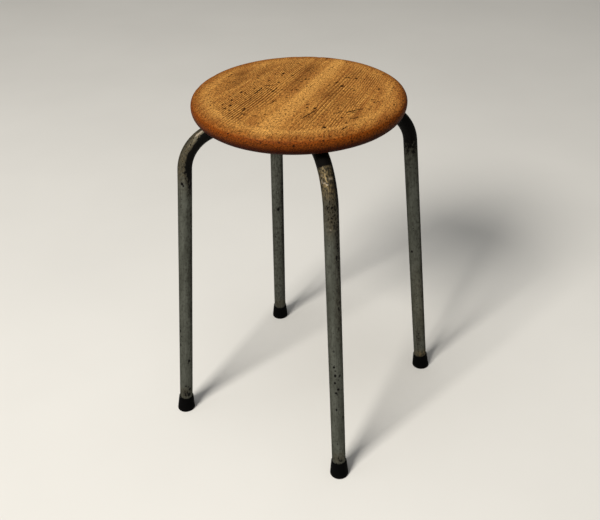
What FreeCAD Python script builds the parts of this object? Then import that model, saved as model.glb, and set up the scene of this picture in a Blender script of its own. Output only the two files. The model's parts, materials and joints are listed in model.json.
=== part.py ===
import FreeCAD, Part
import math
import os

import Sketcher
from FreeCAD import Vector

# A round stacking stool: a turned wooden seat on four bent steel tubes.
# Units are millimetres. +Z is up, the origin is on the floor under the seat's centre,
# and the four legs stand on the -Y, +X, +Y and -X sides: front, right, back and left.

# Driving sizes in millimetres, and angles in degrees
SIZES = {
    # Whole stool
    "seat_height": 515,  # floor to the top of the seat
    "foot_circle_diameter": 400,  # circle on which the leg axes meet the floor
    "leg_splay_angle": 5.2,  # lean of each leg from upright
    # Seat
    "seat_diameter": 290,
    "seat_thickness": 25,
    "seat_top_round": 9,  # radius of the upper rim
    "seat_under_round": 15,  # radius of the lower rim
    # Leg tubes
    "tube_diameter": 20,
    "tube_wall": 1.5,
    "bend_radius": 60,  # on the tube's centre line
    "tube_end_gap": 8,  # room between the cut ends under the seat's centre
    "seat_to_tube_gap": 0.3,  # air between the seat and the tops of the tubes
    # Plate that joins the tubes and carries the seat
    "plate_diameter": 116,
    "plate_thickness": 3,
    "plate_edge_chamfer": 0.5,
    "plate_recess_clearance": 0.5,  # play of the plate in its recess, on the radius
    # Weld beads between tube and plate
    "weld_root_gap": 0.1,  # gap between tube and plate at the root
    "weld_root": 1.5,  # distance of the root from the tube's top line
    "weld_wrap_angle": 42,  # angle round the tube that a bead reaches
    "weld_toe": 2,  # width of the bead beside the tube on the plate
    "weld_length": 34,
    # Wood screws with round slotted heads
    "screw_circle_diameter": 84,
    "screw_diameter": 4.5,  # outside of the thread
    "screw_length": 18,  # under the head to the point
    "screw_point_length": 4,  # tapered end
    "screw_head_diameter": 9,
    "screw_head_height": 3,  # domed from edge to edge
    "screw_slot_width": 1.2,
    "screw_slot_depth": 1.6,
    "screw_hole_clearance": 0.25,  # play of the screw in the plate, on the radius
    "pilot_clearance": 0.05,  # play of the screw in the seat, on the radius
    "pilot_extra_depth": 1,  # hole in the seat past the screw's point
    # Rubber feet and the steel washers in them
    "foot_height": 25,  # along the tube, from the floor to the rim
    "foot_rim_wall": 1.2,  # rubber round the tube at the rim
    "foot_base_diameter": 27.4,  # widest part of the foot, at its sole
    "foot_sole": 6,  # rubber under the washer, along the tube
    "foot_fit": 0.05,  # rubber to tube, on the radius
    "foot_edge_round": 1.8,  # rounded edge of the sole
    "foot_spare_rubber": 1,  # least height of rubber trimmed off at the floor
    "washer_thickness": 1.5,
    "washer_clearance": 0.3,  # washer to rubber, on the radius
    "washer_hole_diameter": 8,
}

# Heights and radii that follow from the driving sizes
FOLLOWING_SIZES = {
    "seat_underside": "seat_height - seat_thickness",
    "plate_underside": "seat_underside - seat_to_tube_gap + weld_root_gap",
    "plate_top": "plate_underside + plate_thickness",
    "recess_radius": "plate_diameter / 2 + plate_recess_clearance",
    "tube_radius": "tube_diameter / 2",
    "tube_axis_height": "seat_underside - seat_to_tube_gap - tube_radius",
    "tube_end_radius": "tube_radius + tube_end_gap / 2",
    "washer_top": "foot_sole + washer_thickness",
    "foot_trim": "foot_base_diameter / 2 * tan(leg_splay_angle * 1 deg) + foot_spare_rubber",
    "screw_head_low": "plate_underside - screw_head_height",
    "screw_dome_radius": "(screw_head_diameter ^ 2 / 4 + screw_head_height ^ 2) / (2 * screw_head_height)",
}

doc = FreeCAD.newDocument("StackingStool")
sheet = doc.addObject("Spreadsheet::Sheet", "Sizes")
contents = {alias: str(number) for alias, number in SIZES.items()}
contents.update({alias: "=" + formula for alias, formula in FOLLOWING_SIZES.items()})
for row, (alias, content) in enumerate(contents.items(), start=1):
    sheet.set("A%d" % row, alias.replace("_", " "))
    sheet.set("B%d" % row, content)
    sheet.setAlias("B%d" % row, alias)
doc.recompute()

# Direction of each leg from the middle of the stool, in degrees from +X
LEGS = {"front": -90, "right": 0, "back": 90, "left": 180}

# How closely an edge has to match the circle that is looked for
MATCH_TOLERANCE = 0.01


def value(alias):
    """Number of one named size, for the first guess of a sketch and for finding edges."""
    return float(sheet.get(alias))


def new_body(label):
    """Empty body with its label, which also names its file."""
    body = doc.addObject("PartDesign::Body", label)
    body.Label = label
    return body


def origin_plane(body, role):
    """One of a body's own three origin planes."""
    return [item for item in body.Origin.OriginFeatures if item.Role == role][0]


def new_sketch(body, name, role, offset=None):
    """Sketch on a body's origin plane, moved along the plane's normal by an expression."""
    sketch = body.newObject("Sketcher::SketchObject", name)
    sketch.AttachmentSupport = [(origin_plane(body, role), "")]
    sketch.MapMode = "FlatFace"
    if offset:
        sketch.setExpression("AttachmentOffset.Base.z", offset)
    return sketch


def bind(sketch, kind, *args, expression):
    """Add a dimension to a sketch and tie it to the sheet."""
    index = sketch.addConstraint(Sketcher.Constraint(kind, *args))
    sketch.setExpression("Constraints[%d]" % index, expression)


def bind_point(sketch, geometry, position, across, along):
    """Dimension one point from the sketch's origin, both ways."""
    point = sketch.getPoint(geometry, position)
    bind(sketch, "DistanceX", -1, 1, geometry, position, point.x, expression=across)
    bind(sketch, "DistanceY", -1, 1, geometry, position, point.y, expression=along)


def evaluate(expression):
    """Number that an expression on the sheet gives now."""
    number = sheet.evalExpression(expression.replace("Sizes.", ""))
    return float(getattr(number, "Value", number))


def add_polygon(sketch, corners):
    """Closed outline whose corners are pairs of expressions."""
    points = [Vector(evaluate(across), evaluate(along), 0) for across, along in corners]
    first = sketch.GeometryCount
    count = len(points)
    for index in range(count):
        sketch.addGeometry(Part.LineSegment(points[index], points[(index + 1) % count]), False)
    for index in range(count):
        following = first + (index + 1) % count
        sketch.addConstraint(Sketcher.Constraint("Coincident", first + index, 2, following, 1))
    for index, (across, along) in enumerate(corners):
        bind_point(sketch, first + index, 1, across, along)


def add_circle(sketch, across, along, radius):
    """Circle whose centre and radius are expressions."""
    centre = Vector(evaluate(across), evaluate(along), 0)
    circle = Part.Circle(centre, Vector(0, 0, 1), evaluate(radius))
    index = sketch.addGeometry(circle, False)
    bind_point(sketch, index, 3, across, along)
    bind(sketch, "Radius", index, evaluate(radius), expression=radius)


def add_pad(body, name, sketch, length):
    """Thicken a sketch along its plane's normal."""
    pad = body.newObject("PartDesign::Pad", name)
    pad.Profile = sketch
    pad.setExpression("Length", length)
    return pad


def add_pocket(body, name, sketch, length, reverse):
    """Cut a sketch into the body and make sure that it took something away."""
    doc.recompute()
    before = body.Shape.Volume
    pocket = body.newObject("PartDesign::Pocket", name)
    pocket.Profile = sketch
    pocket.Reversed = reverse
    pocket.setExpression("Length", length)
    doc.recompute()
    if body.Shape.Volume >= before:
        raise RuntimeError("pocket %s cuts nothing" % name)
    return pocket


def add_revolution(body, name, sketch, axis):
    """Turn a sketch a full turn about an axis."""
    revolution = body.newObject("PartDesign::Revolution", name)
    revolution.Profile = sketch
    revolution.ReferenceAxis = axis
    revolution.Angle = 360
    return revolution


def add_ring_of(body, name, features, plane_sketch):
    """Repeat features four times round the vertical axis."""
    pattern = body.newObject("PartDesign::PolarPattern", name)
    pattern.Originals = features
    pattern.Axis = (plane_sketch, ["N_Axis"])
    pattern.Angle = 360
    pattern.Occurrences = len(LEGS)
    body.Tip = pattern
    return pattern


def edges_where(shape, test):
    """Names of the edges that pass a test."""
    return ["Edge%d" % (index + 1) for index, edge in enumerate(shape.Edges) if test(edge)]


def is_rim(edge, radius, height):
    """True for a full circle of this radius about the vertical axis at this height."""
    if not isinstance(edge.Curve, Part.Circle):
        return False
    centre = edge.Curve.Center
    misses = (edge.Curve.Radius - radius, centre.z - height, centre.x, centre.y)
    return all(abs(miss) < MATCH_TOLERANCE for miss in misses)


def add_dress_up(body, kind, name, feature, edges, size_name, expression):
    """Fillet or chamfer some edges of a feature."""
    dress_up = body.newObject(kind, name)
    dress_up.Base = (feature, edges)
    dress_up.setExpression(size_name, expression)
    doc.recompute()
    return dress_up


# Seat: one board turned round, with a recess for the plate and pilot holes
seat = new_body("seat")
seat_profile = new_sketch(seat, "seat_profile", "XZ_Plane")
add_polygon(seat_profile, [
    ("0", "Sizes.seat_underside"),
    ("Sizes.seat_diameter / 2", "Sizes.seat_underside"),
    ("Sizes.seat_diameter / 2", "Sizes.seat_height"),
    ("0", "Sizes.seat_height"),
])
seat_blank = add_revolution(seat, "seat_blank", seat_profile, (seat_profile, ["V_Axis"]))
doc.recompute()
upper_rim = edges_where(
    seat_blank.Shape,
    lambda edge: is_rim(edge, value("seat_diameter") / 2, value("seat_height")),
)
seat_upper_round = add_dress_up(
    seat, "PartDesign::Fillet", "seat_upper_round", seat_blank, upper_rim,
    "Radius", "Sizes.seat_top_round",
)
lower_rim = edges_where(
    seat_upper_round.Shape,
    lambda edge: is_rim(edge, value("seat_diameter") / 2, value("seat_underside")),
)
add_dress_up(
    seat, "PartDesign::Fillet", "seat_lower_round", seat_upper_round, lower_rim,
    "Radius", "Sizes.seat_under_round",
)
recess_outline = new_sketch(seat, "recess_outline", "XY_Plane", "Sizes.seat_underside")
add_circle(recess_outline, "0", "0", "Sizes.recess_radius")
add_pocket(seat, "plate_recess", recess_outline, "Sizes.plate_top - Sizes.seat_underside", True)
pilot_outline = new_sketch(seat, "pilot_outline", "XY_Plane", "Sizes.plate_top")
add_circle(
    pilot_outline,
    "Sizes.screw_circle_diameter / 2 * cos(45 deg)",
    "Sizes.screw_circle_diameter / 2 * sin(45 deg)",
    "Sizes.screw_diameter / 2 + Sizes.pilot_clearance",
)
pilot_hole = add_pocket(
    seat, "pilot_hole", pilot_outline,
    "Sizes.screw_length - Sizes.plate_thickness + Sizes.pilot_extra_depth", True,
)
add_ring_of(seat, "pilot_holes", [pilot_hole], pilot_outline)

# Mounting plate: the steel disc to which the tubes are welded and the seat is screwed
plate = new_body("mounting_plate")
plate_outline = new_sketch(plate, "plate_outline", "XY_Plane", "Sizes.plate_underside")
add_circle(plate_outline, "0", "0", "Sizes.plate_diameter / 2")
plate_disc = add_pad(plate, "plate_disc", plate_outline, "Sizes.plate_thickness")
doc.recompute()
plate_rims = edges_where(
    plate_disc.Shape,
    lambda edge: is_rim(edge, value("plate_diameter") / 2, value("plate_top"))
    or is_rim(edge, value("plate_diameter") / 2, value("plate_underside")),
)
add_dress_up(
    plate, "PartDesign::Chamfer", "plate_edge", plate_disc, plate_rims,
    "Size", "Sizes.plate_edge_chamfer",
)
screw_hole_outline = new_sketch(plate, "screw_hole_outline", "XY_Plane", "Sizes.plate_underside")
add_circle(
    screw_hole_outline,
    "Sizes.screw_circle_diameter / 2 * cos(45 deg)",
    "Sizes.screw_circle_diameter / 2 * sin(45 deg)",
    "Sizes.screw_diameter / 2 + Sizes.screw_hole_clearance",
)
screw_hole = add_pocket(plate, "screw_hole", screw_hole_outline, "Sizes.plate_thickness", True)
add_ring_of(plate, "screw_holes", [screw_hole], screw_hole_outline)


def make_leg_tube(side, azimuth):
    """One bent tube: level under the seat, then a bend, then down to the floor."""
    body = new_body("leg_tube_" + side)
    splay = math.radians(value("leg_splay_angle"))
    axis_height = value("tube_axis_height")
    bend = value("bend_radius")
    floor_radius = value("foot_circle_diameter") / 2
    along_leg = Vector(-math.sin(splay), math.cos(splay), 0)
    outward = Vector(math.cos(splay), math.sin(splay), 0)
    floor_point = Vector(floor_radius, 0, 0)
    cut_end = floor_point + along_leg * value("washer_top")
    bend_centre_height = axis_height - bend
    bend_end_height = bend_centre_height + bend * math.sin(splay)
    bend_end = floor_point + along_leg * (bend_end_height / math.cos(splay))
    bend_centre = bend_end - outward * bend
    bend_start = Vector(bend_centre.x, axis_height, 0)
    inner_end = Vector(value("tube_end_radius"), axis_height, 0)

    path = new_sketch(body, "path_" + side, "XZ_Plane")
    level = path.addGeometry(Part.LineSegment(inner_end, bend_start), False)
    circle = Part.Circle(bend_centre, Vector(0, 0, 1), bend)
    turn = path.addGeometry(Part.ArcOfCircle(circle, splay, math.pi / 2), False)
    slope = path.addGeometry(Part.LineSegment(bend_end, cut_end), False)
    below = path.addGeometry(Part.LineSegment(cut_end, floor_point), True)
    path.addConstraint(Sketcher.Constraint("Horizontal", level))
    path.addConstraint(Sketcher.Constraint("Tangent", level, 2, turn, 2))
    path.addConstraint(Sketcher.Constraint("Tangent", turn, 1, slope, 1))
    path.addConstraint(Sketcher.Constraint("Coincident", slope, 2, below, 1))
    path.addConstraint(Sketcher.Constraint("Parallel", slope, below))
    path.addConstraint(Sketcher.Constraint("PointOnObject", below, 2, -1))
    bind_point(path, level, 1, "Sizes.tube_end_radius", "Sizes.tube_axis_height")
    bind(path, "Radius", turn, bend, expression="Sizes.bend_radius")
    bind(path, "DistanceX", -1, 1, below, 2, floor_radius, expression="Sizes.foot_circle_diameter / 2")
    bind(path, "Distance", below, value("washer_top"), expression="Sizes.washer_top")
    lean = math.atan2(floor_point.y - cut_end.y, floor_point.x - cut_end.x)
    bind(path, "Angle", below, lean, expression="Sizes.leg_splay_angle * 1 deg - 90 deg")

    section = new_sketch(body, "section_" + side, "YZ_Plane", "Sizes.tube_end_radius")
    add_circle(section, "0", "Sizes.tube_axis_height", "Sizes.tube_radius")
    add_circle(section, "0", "Sizes.tube_axis_height", "Sizes.tube_radius - Sizes.tube_wall")
    tube = body.newObject("PartDesign::AdditivePipe", "tube_" + side)
    tube.Profile = section
    tube.Spine = (path, [])
    body.setExpression("Placement.Rotation.Angle", "%d deg" % azimuth)
    return body


def stand_on_foot(body, azimuth):
    """Put a body's own axis on a leg's axis, with its origin where that meets the floor."""
    turn_round = "create(<<rotation>>; create(<<vector>>; 0; 0; 1); %d)" % azimuth
    lean_in = "create(<<rotation>>; create(<<vector>>; 0; 1; 0); -Sizes.leg_splay_angle)"
    radius = "Sizes.foot_circle_diameter / 2"
    floor_point = "create(<<vector>>; %s * cos(%d deg); %s * sin(%d deg); 0)" % (
        radius, azimuth, radius, azimuth,
    )
    placement = "create(<<placement>>; %s; %s * %s)" % (floor_point, turn_round, lean_in)
    body.setExpression("Placement", placement)


def make_rubber_foot(side, azimuth):
    """Moulded rubber cup on the tube's end, trimmed level with the floor."""
    body = new_body("rubber_foot_" + side)
    profile = new_sketch(body, "foot_profile_" + side, "XZ_Plane")
    add_polygon(profile, [
        ("0", "-Sizes.foot_trim"),
        ("Sizes.foot_base_diameter / 2", "-Sizes.foot_trim"),
        ("Sizes.tube_radius + Sizes.foot_fit + Sizes.foot_rim_wall", "Sizes.foot_height"),
        ("Sizes.tube_radius + Sizes.foot_fit", "Sizes.foot_height"),
        ("Sizes.tube_radius + Sizes.foot_fit", "Sizes.foot_sole"),
        ("0", "Sizes.foot_sole"),
    ])
    add_revolution(body, "foot_cup_" + side, profile, (profile, ["V_Axis"]))
    floor_cut = new_sketch(body, "floor_cut_" + side, "XZ_Plane")
    drop = "Sizes.foot_base_diameter * tan(Sizes.leg_splay_angle * 1 deg)"
    add_polygon(floor_cut, [
        ("-Sizes.foot_base_diameter", drop),
        ("-Sizes.foot_base_diameter", "-Sizes.foot_base_diameter"),
        ("Sizes.foot_base_diameter", "-Sizes.foot_base_diameter"),
        ("Sizes.foot_base_diameter", "-(%s)" % drop),
    ])
    sole = add_pocket(body, "sole_" + side, floor_cut, "2 * Sizes.foot_base_diameter", False)
    sole.Midplane = True
    doc.recompute()
    splay = math.radians(value("leg_splay_angle"))
    down = Vector(-math.sin(splay), 0, -math.cos(splay))
    sole_faces = [
        face for face in sole.Shape.Faces
        if isinstance(face.Surface, Part.Plane) and face.normalAt(0, 0).dot(down) > 0.9999
    ]
    sole_edge = edges_where(
        sole.Shape, lambda edge: any(edge.isSame(other) for other in sole_faces[0].Edges)
    )
    add_dress_up(
        body, "PartDesign::Fillet", "sole_edge_" + side, sole, sole_edge,
        "Radius", "Sizes.foot_edge_round",
    )
    stand_on_foot(body, azimuth)
    return body


def make_foot_washer(side, azimuth):
    """Steel washer that keeps the tube's edge from cutting through the rubber."""
    body = new_body("foot_washer_" + side)
    outline = new_sketch(body, "washer_outline_" + side, "XY_Plane", "Sizes.foot_sole")
    add_circle(outline, "0", "0", "Sizes.tube_radius + Sizes.foot_fit - Sizes.washer_clearance")
    add_circle(outline, "0", "0", "Sizes.washer_hole_diameter / 2")
    add_pad(body, "washer_disc_" + side, outline, "Sizes.washer_thickness")
    stand_on_foot(body, azimuth)
    return body


leg_tubes = [make_leg_tube(side, azimuth) for side, azimuth in LEGS.items()]
rubber_feet = [make_rubber_foot(side, azimuth) for side, azimuth in LEGS.items()]
foot_washers = [make_foot_washer(side, azimuth) for side, azimuth in LEGS.items()]

# Weld beads: one on each side of each tube, filling the wedge between tube and plate
welds = new_body("weld_beads")
bead_section = new_sketch(welds, "bead_section", "YZ_Plane", "Sizes.tube_end_radius")
root_drop = "sqrt(Sizes.tube_radius ^ 2 - Sizes.weld_root ^ 2)"
wrap = "Sizes.weld_wrap_angle * 1 deg"
for hand in ("", "-"):
    root = (hand + "Sizes.weld_root", "Sizes.plate_underside")
    toe = (hand + "(Sizes.tube_radius * sin(%s) + Sizes.weld_toe)" % wrap, "Sizes.plate_underside")
    crown = (
        hand + "(Sizes.tube_radius * sin(%s))" % wrap,
        "Sizes.tube_axis_height + Sizes.tube_radius * cos(%s)" % wrap,
    )
    heel = (hand + "Sizes.weld_root", "Sizes.tube_axis_height + " + root_drop)
    corners = [Vector(evaluate(across), evaluate(along), 0) for across, along in (root, toe, crown, heel)]
    first = bead_section.GeometryCount
    bead_section.addGeometry(Part.LineSegment(corners[0], corners[1]), False)
    bead_section.addGeometry(Part.LineSegment(corners[1], corners[2]), False)
    on_tube = Part.Circle(Vector(0, value("tube_axis_height"), 0), Vector(0, 0, 1), value("tube_radius"))
    crown_angle = math.pi / 2 - math.radians(value("weld_wrap_angle"))
    heel_angle = math.pi / 2 - math.asin(value("weld_root") / value("tube_radius"))
    if hand:
        arc = Part.ArcOfCircle(on_tube, math.pi - heel_angle, math.pi - crown_angle)
    else:
        arc = Part.ArcOfCircle(on_tube, crown_angle, heel_angle)
    bead_section.addGeometry(arc, False)
    crown_end, heel_end = (2, 1) if hand else (1, 2)
    bead_section.addGeometry(Part.LineSegment(corners[3], corners[0]), False)
    bead_section.addConstraint(Sketcher.Constraint("Coincident", first, 2, first + 1, 1))
    bead_section.addConstraint(Sketcher.Constraint("Coincident", first + 1, 2, first + 2, crown_end))
    bead_section.addConstraint(Sketcher.Constraint("Coincident", first + 2, heel_end, first + 3, 1))
    bead_section.addConstraint(Sketcher.Constraint("Coincident", first + 3, 2, first, 1))
    bind_point(bead_section, first, 1, *root)
    bind_point(bead_section, first, 2, *toe)
    bind_point(bead_section, first + 2, 3, "0", "Sizes.tube_axis_height")
    bind(bead_section, "Radius", first + 2, value("tube_radius"), expression="Sizes.tube_radius")
    bind(bead_section, "DistanceX", -1, 1, first + 1, 2, corners[2].x, expression=crown[0])
    bind(bead_section, "DistanceX", -1, 1, first + 3, 1, corners[3].x, expression=heel[0])
bead_pair = add_pad(welds, "bead_pair", bead_section, "Sizes.weld_length")
doc.recompute()
level_sketch = new_sketch(welds, "turning_axis", "XY_Plane")
add_ring_of(welds, "bead_pairs", [bead_pair], level_sketch)

# Seat screws: domed slotted heads under the plate, points up in the seat
screws = new_body("seat_screws")
screw_profile = new_sketch(screws, "screw_profile", "XZ_Plane")
screw_axis = "Sizes.screw_circle_diameter / 2"
screw_side = screw_axis + " + Sizes.screw_diameter / 2"
screw_tip = "Sizes.plate_underside + Sizes.screw_length"
head_edge = screw_axis + " + Sizes.screw_head_diameter / 2"
screw_corners = [
    (head_edge, "Sizes.plate_underside"),
    (screw_side, "Sizes.plate_underside"),
    (screw_side, screw_tip + " - Sizes.screw_point_length"),
    (screw_axis, screw_tip),
    (screw_axis, "Sizes.screw_head_low"),
]
screw_points = [Vector(evaluate(across), evaluate(along), 0) for across, along in screw_corners]
for here, following in zip(screw_points, screw_points[1:]):
    screw_profile.addGeometry(Part.LineSegment(here, following), False)
dome = Part.Circle(
    Vector(evaluate(screw_axis), value("screw_head_low") + value("screw_dome_radius"), 0),
    Vector(0, 0, 1), value("screw_dome_radius"),
)
head_angle = math.atan2(screw_points[0].y - dome.Center.y, screw_points[0].x - dome.Center.x)
dome_arc = screw_profile.addGeometry(Part.ArcOfCircle(dome, -math.pi / 2, head_angle), False)
for line in range(dome_arc - 1):
    screw_profile.addConstraint(Sketcher.Constraint("Coincident", line, 2, line + 1, 1))
screw_profile.addConstraint(Sketcher.Constraint("Coincident", dome_arc - 1, 2, dome_arc, 1))
screw_profile.addConstraint(Sketcher.Constraint("Coincident", dome_arc, 2, 0, 1))
for line in range(dome_arc):
    bind_point(screw_profile, line, 1, *screw_corners[line])
bind_point(screw_profile, dome_arc - 1, 2, *screw_corners[-1])
bind(
    screw_profile, "DistanceX", -1, 1, dome_arc, 3, dome.Center.x, expression=screw_axis
)
screw_centre = screw_profile.addGeometry(
    Part.LineSegment(
        Vector(evaluate(screw_axis), 0, 0),
        Vector(evaluate(screw_axis), value("seat_height"), 0),
    ),
    True,
)
bind_point(screw_profile, screw_centre, 1, screw_axis, "0")
bind_point(screw_profile, screw_centre, 2, screw_axis, "Sizes.seat_height")
screw_shape = add_revolution(screws, "screw_shape", screw_profile, (screw_profile, ["Axis0"]))
slot_outline = new_sketch(screws, "slot_outline", "XY_Plane", "Sizes.screw_head_low")
add_polygon(slot_outline, [
    (screw_axis + " - Sizes.screw_head_diameter", "-Sizes.screw_slot_width / 2"),
    (screw_axis + " + Sizes.screw_head_diameter", "-Sizes.screw_slot_width / 2"),
    (screw_axis + " + Sizes.screw_head_diameter", "Sizes.screw_slot_width / 2"),
    (screw_axis + " - Sizes.screw_head_diameter", "Sizes.screw_slot_width / 2"),
])
slot = add_pocket(screws, "driver_slot", slot_outline, "Sizes.screw_slot_depth", True)
add_ring_of(screws, "four_screws", [screw_shape, slot], slot_outline)
screws.setExpression("Placement.Rotation.Angle", "45 deg")

doc.recompute()

# Every object has to be sound before anything is written
for item in doc.Objects:
    if "Invalid" in item.State or "Error" in item.State:
        raise RuntimeError("%s did not recompute: %s" % (item.Label, item.State))

pieces = [seat, plate, welds, screws] + leg_tubes + rubber_feet + foot_washers
os.makedirs("parts", exist_ok=True)
for piece in pieces:
    if piece.Shape.isNull() or not piece.Shape.isValid():
        raise RuntimeError("%s has no sound shape" % piece.Label)
for piece in pieces:
    piece.Shape.exportStep("parts/%s.step" % piece.Label)
    print(piece.Label, len(piece.Shape.Solids), round(piece.Shape.Volume, 1))
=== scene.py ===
"""Stacking stool: a round waxed board on four bent steel tubes with rubber feet.

Every piece is dressed or built round the packed frame, in metres, with the floor at height 0.
"""
import json
import math

import bmesh
import bpy
import numpy as np
from bpy.props import FloatProperty, FloatVectorProperty, PointerProperty
from bpy.types import Operator, Panel, PropertyGroup
from mathutils import Matrix, Vector, geometry, noise


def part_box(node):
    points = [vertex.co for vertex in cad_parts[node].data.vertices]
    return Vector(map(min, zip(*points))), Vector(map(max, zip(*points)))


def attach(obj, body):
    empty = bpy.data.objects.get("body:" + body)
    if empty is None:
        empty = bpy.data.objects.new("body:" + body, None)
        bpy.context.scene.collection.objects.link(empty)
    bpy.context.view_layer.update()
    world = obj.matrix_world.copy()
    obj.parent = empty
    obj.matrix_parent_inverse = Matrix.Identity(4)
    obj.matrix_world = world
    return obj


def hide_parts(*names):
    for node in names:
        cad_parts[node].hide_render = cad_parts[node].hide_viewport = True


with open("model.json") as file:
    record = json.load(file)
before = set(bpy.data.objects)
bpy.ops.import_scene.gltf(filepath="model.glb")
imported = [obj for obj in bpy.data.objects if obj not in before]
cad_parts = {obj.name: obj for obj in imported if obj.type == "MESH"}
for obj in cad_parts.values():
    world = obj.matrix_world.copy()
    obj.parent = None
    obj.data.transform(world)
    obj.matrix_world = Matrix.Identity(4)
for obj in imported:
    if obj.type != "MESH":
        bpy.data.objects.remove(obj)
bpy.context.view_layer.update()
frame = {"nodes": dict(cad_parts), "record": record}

bl_info = {
    "name": "Stacking Stool",
    "version": (1, 0, 0),
    "blender": (4, 5, 0),
    "location": "3D View > Sidebar > Stool",
    "description": "Builds a worn stacking stool round its frame: board, bent tubes, welds, screws and feet",
    "category": "Object",
}

MM = 0.001

# Sizes and places read from the frame
SEAT_LOW, SEAT_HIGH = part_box("seat")
PLATE_LOW, PLATE_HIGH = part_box("mounting_plate")
TUBE_LOW, TUBE_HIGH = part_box("leg_tube_right")
SCREWS_LOW, SCREWS_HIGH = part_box("seat_screws")
BEADS_LOW, BEADS_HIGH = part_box("weld_beads")
MOUNTS = {mount["name"]: mount for mount in frame["record"]["mounts"]}
FOOT_CIRCLE_RADIUS = MOUNTS["right_foot_rest"]["pos_m"][0]
SEAT_RADIUS = SEAT_HIGH.x
TUBE_RADIUS = TUBE_HIGH.y
LEVEL_HEIGHT = TUBE_HIGH.z - TUBE_RADIUS
TUBE_START = TUBE_LOW.x

# Bearing of each leg from the middle of the stool, in degrees from +X
LEGS = {"front": -90, "right": 0, "back": 90, "left": 180}

# Bearing of each screw, and how far its slot is turned, in degrees
SCREWS = ((45, 20), (135, 75), (225, -35), (315, 50))

# Points round the seat's edge, a tube, a foot and a screw
SEAT_COUNT = 900
TUBE_COUNT = 48
FOOT_COUNT = 72
SCREW_COUNT = 40


def linear(hex_colour):
    """Linear RGBA of an sRGB hex colour."""
    channels = [int(hex_colour[i:i + 2], 16) / 255 for i in (1, 3, 5)]
    return tuple(c / 12.92 if c <= 0.04045 else ((c + 0.055) / 1.055) ** 2.4 for c in channels) + (1.0,)


def colour_property(name, description, hex_colour):
    """A colour that a user can change."""
    return FloatVectorProperty(
        name=name, description=description, subtype="COLOR", size=4, min=0, max=1,
        default=linear(hex_colour),
    )


def length_property(name, description, millimetres):
    """A length that a user can change."""
    return FloatProperty(
        name=name, description=description, unit="LENGTH", precision=5, default=millimetres * MM
    )


class SeatSettings(PropertyGroup):
    """Board: its edges, grain and colours."""
    top_round: length_property("Top round", "Radius of the board's upper edge", 9)
    under_round: length_property("Under round", "Radius of the board's lower edge", 15)
    recess_gap: length_property("Recess gap", "Room between the plate's edge and the recess", 0.5)
    pilot_radius: length_property("Pilot radius", "Radius of the four holes for the screws", 2.3)
    pilot_depth: length_property("Pilot depth", "Depth of those holes from the plate", 16.0)
    grain_angle: FloatProperty(
        name="Grain angle", description="Way the grain runs, from +X", subtype="ANGLE",
        default=math.radians(52),
    )
    grain_fan: length_property("Grain fan", "Distance of the point where the grain lines would meet", 1130)
    ring_spacing: length_property("Ring spacing", "Thickness of one year's growth", 2.7)
    pith_depth: length_property("Pith depth", "Depth of the tree's middle below the top face", 50)
    pith_offset: length_property("Pith offset", "How far across the grain the tree's middle lies", 11)
    ring_relief: length_property("Ring relief", "Depth of the worn soft wood between the rings", 0.22)
    pale_wood: colour_property("Pale wood", "Smooth wood between the rings", "#A37236")
    dark_wood: colour_property("Dark wood", "Lines of the rings", "#472206")
    brown_wood: colour_property("Brown wood", "Broad darker streaks", "#74411A")
    # This colour also paints the pale ring inside the rim, which is partly painted sheen
    worn_wood_and_sheen: colour_property("Worn wood", "Rubbed ring inside the edge and rubbed ridges", "#BE8C48")
    edge_wood: colour_property("Edge wood", "Oiled wood of the rounded edge", "#64310A")
    # Dark lower edge: partly oil and partly painted shade where the edge turns under; the end grain uses it
    # too
    soaked_wood_and_shade: colour_property("Low wood", "Dark, oil-soaked lower edge", "#240400")
    grime: colour_property("Grime", "Dirt in pores, holes and cracks", "#1C0C04")


class TubeSettings(PropertyGroup):
    """Leg tubes: their bend and colours."""
    bend_radius: length_property("Bend radius", "Radius of the bend on the tube's axis", 60)
    splay: FloatProperty(
        name="Splay", description="Lean of the legs from upright", subtype="ANGLE",
        default=math.radians(5.2),
    )
    wall: length_property("Wall", "Thickness of the tube's wall", 1.5)
    steel: colour_property("Steel", "Dull drawn steel", "#5C5E57")
    dark_steel: colour_property("Dark steel", "Duller, darker patches", "#33342D")
    tarnish: colour_property("Tarnish", "Straw-coloured tarnish", "#6F6043")
    # This brown also paints shade down each tube's side away from the key light
    burnt_oil_and_shade: colour_property("Burnt oil", "Brown oil baked on beside the bends", "#1E1911")
    # This near-black also paints shadow under the seat, besides soot and pits
    grime: colour_property("Grime", "Soot and deep pits", "#070605")
    # This colour also paints one highlight on the left bend, besides the rubbed chips
    bare_steel_and_highlight: colour_property("Bare steel", "Chips rubbed bright", "#94897A")


class FootSettings(PropertyGroup):
    """Rubber feet: their sizes and colours."""
    height: length_property("Height", "Height of the cup along the tube", 25)
    base_radius: length_property("Base radius", "Radius at the floor", 13.55)
    rim_radius: length_property("Rim radius", "Radius of the upper rim", 11.25)
    sole: length_property("Sole", "Thickness under the tube", 6)
    edge_round: length_property("Edge round", "Round of the sole's edge", 1.8)
    rubber: colour_property("Rubber", "Black moulded rubber", "#040404")
    dust: colour_property("Dust", "Floor dust rubbed into the rubber", "#121110")


class IronworkSettings(PropertyGroup):
    """Plate, welds, screws and washers: their sizes and colours."""
    bead_ripple: length_property("Bead ripple", "Pitch of the ripples of a weld bead", 2.2)
    screw_pitch: length_property("Screw pitch", "Pitch of the wood screws' thread", 2.0)
    screw_circle: length_property("Screw circle", "Radius on which the screws stand", 42)
    mill_scale: colour_property("Mill scale", "Blue-grey skin of hot-rolled plate", "#55575A")
    rust: colour_property("Rust", "Thin brown rust", "#5A3B25")
    weld: colour_property("Weld", "Bare weld metal under grey slag", "#6B665E")
    zinc: colour_property("Zinc", "Aged zinc of screws and washers", "#9C9A92")


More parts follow.
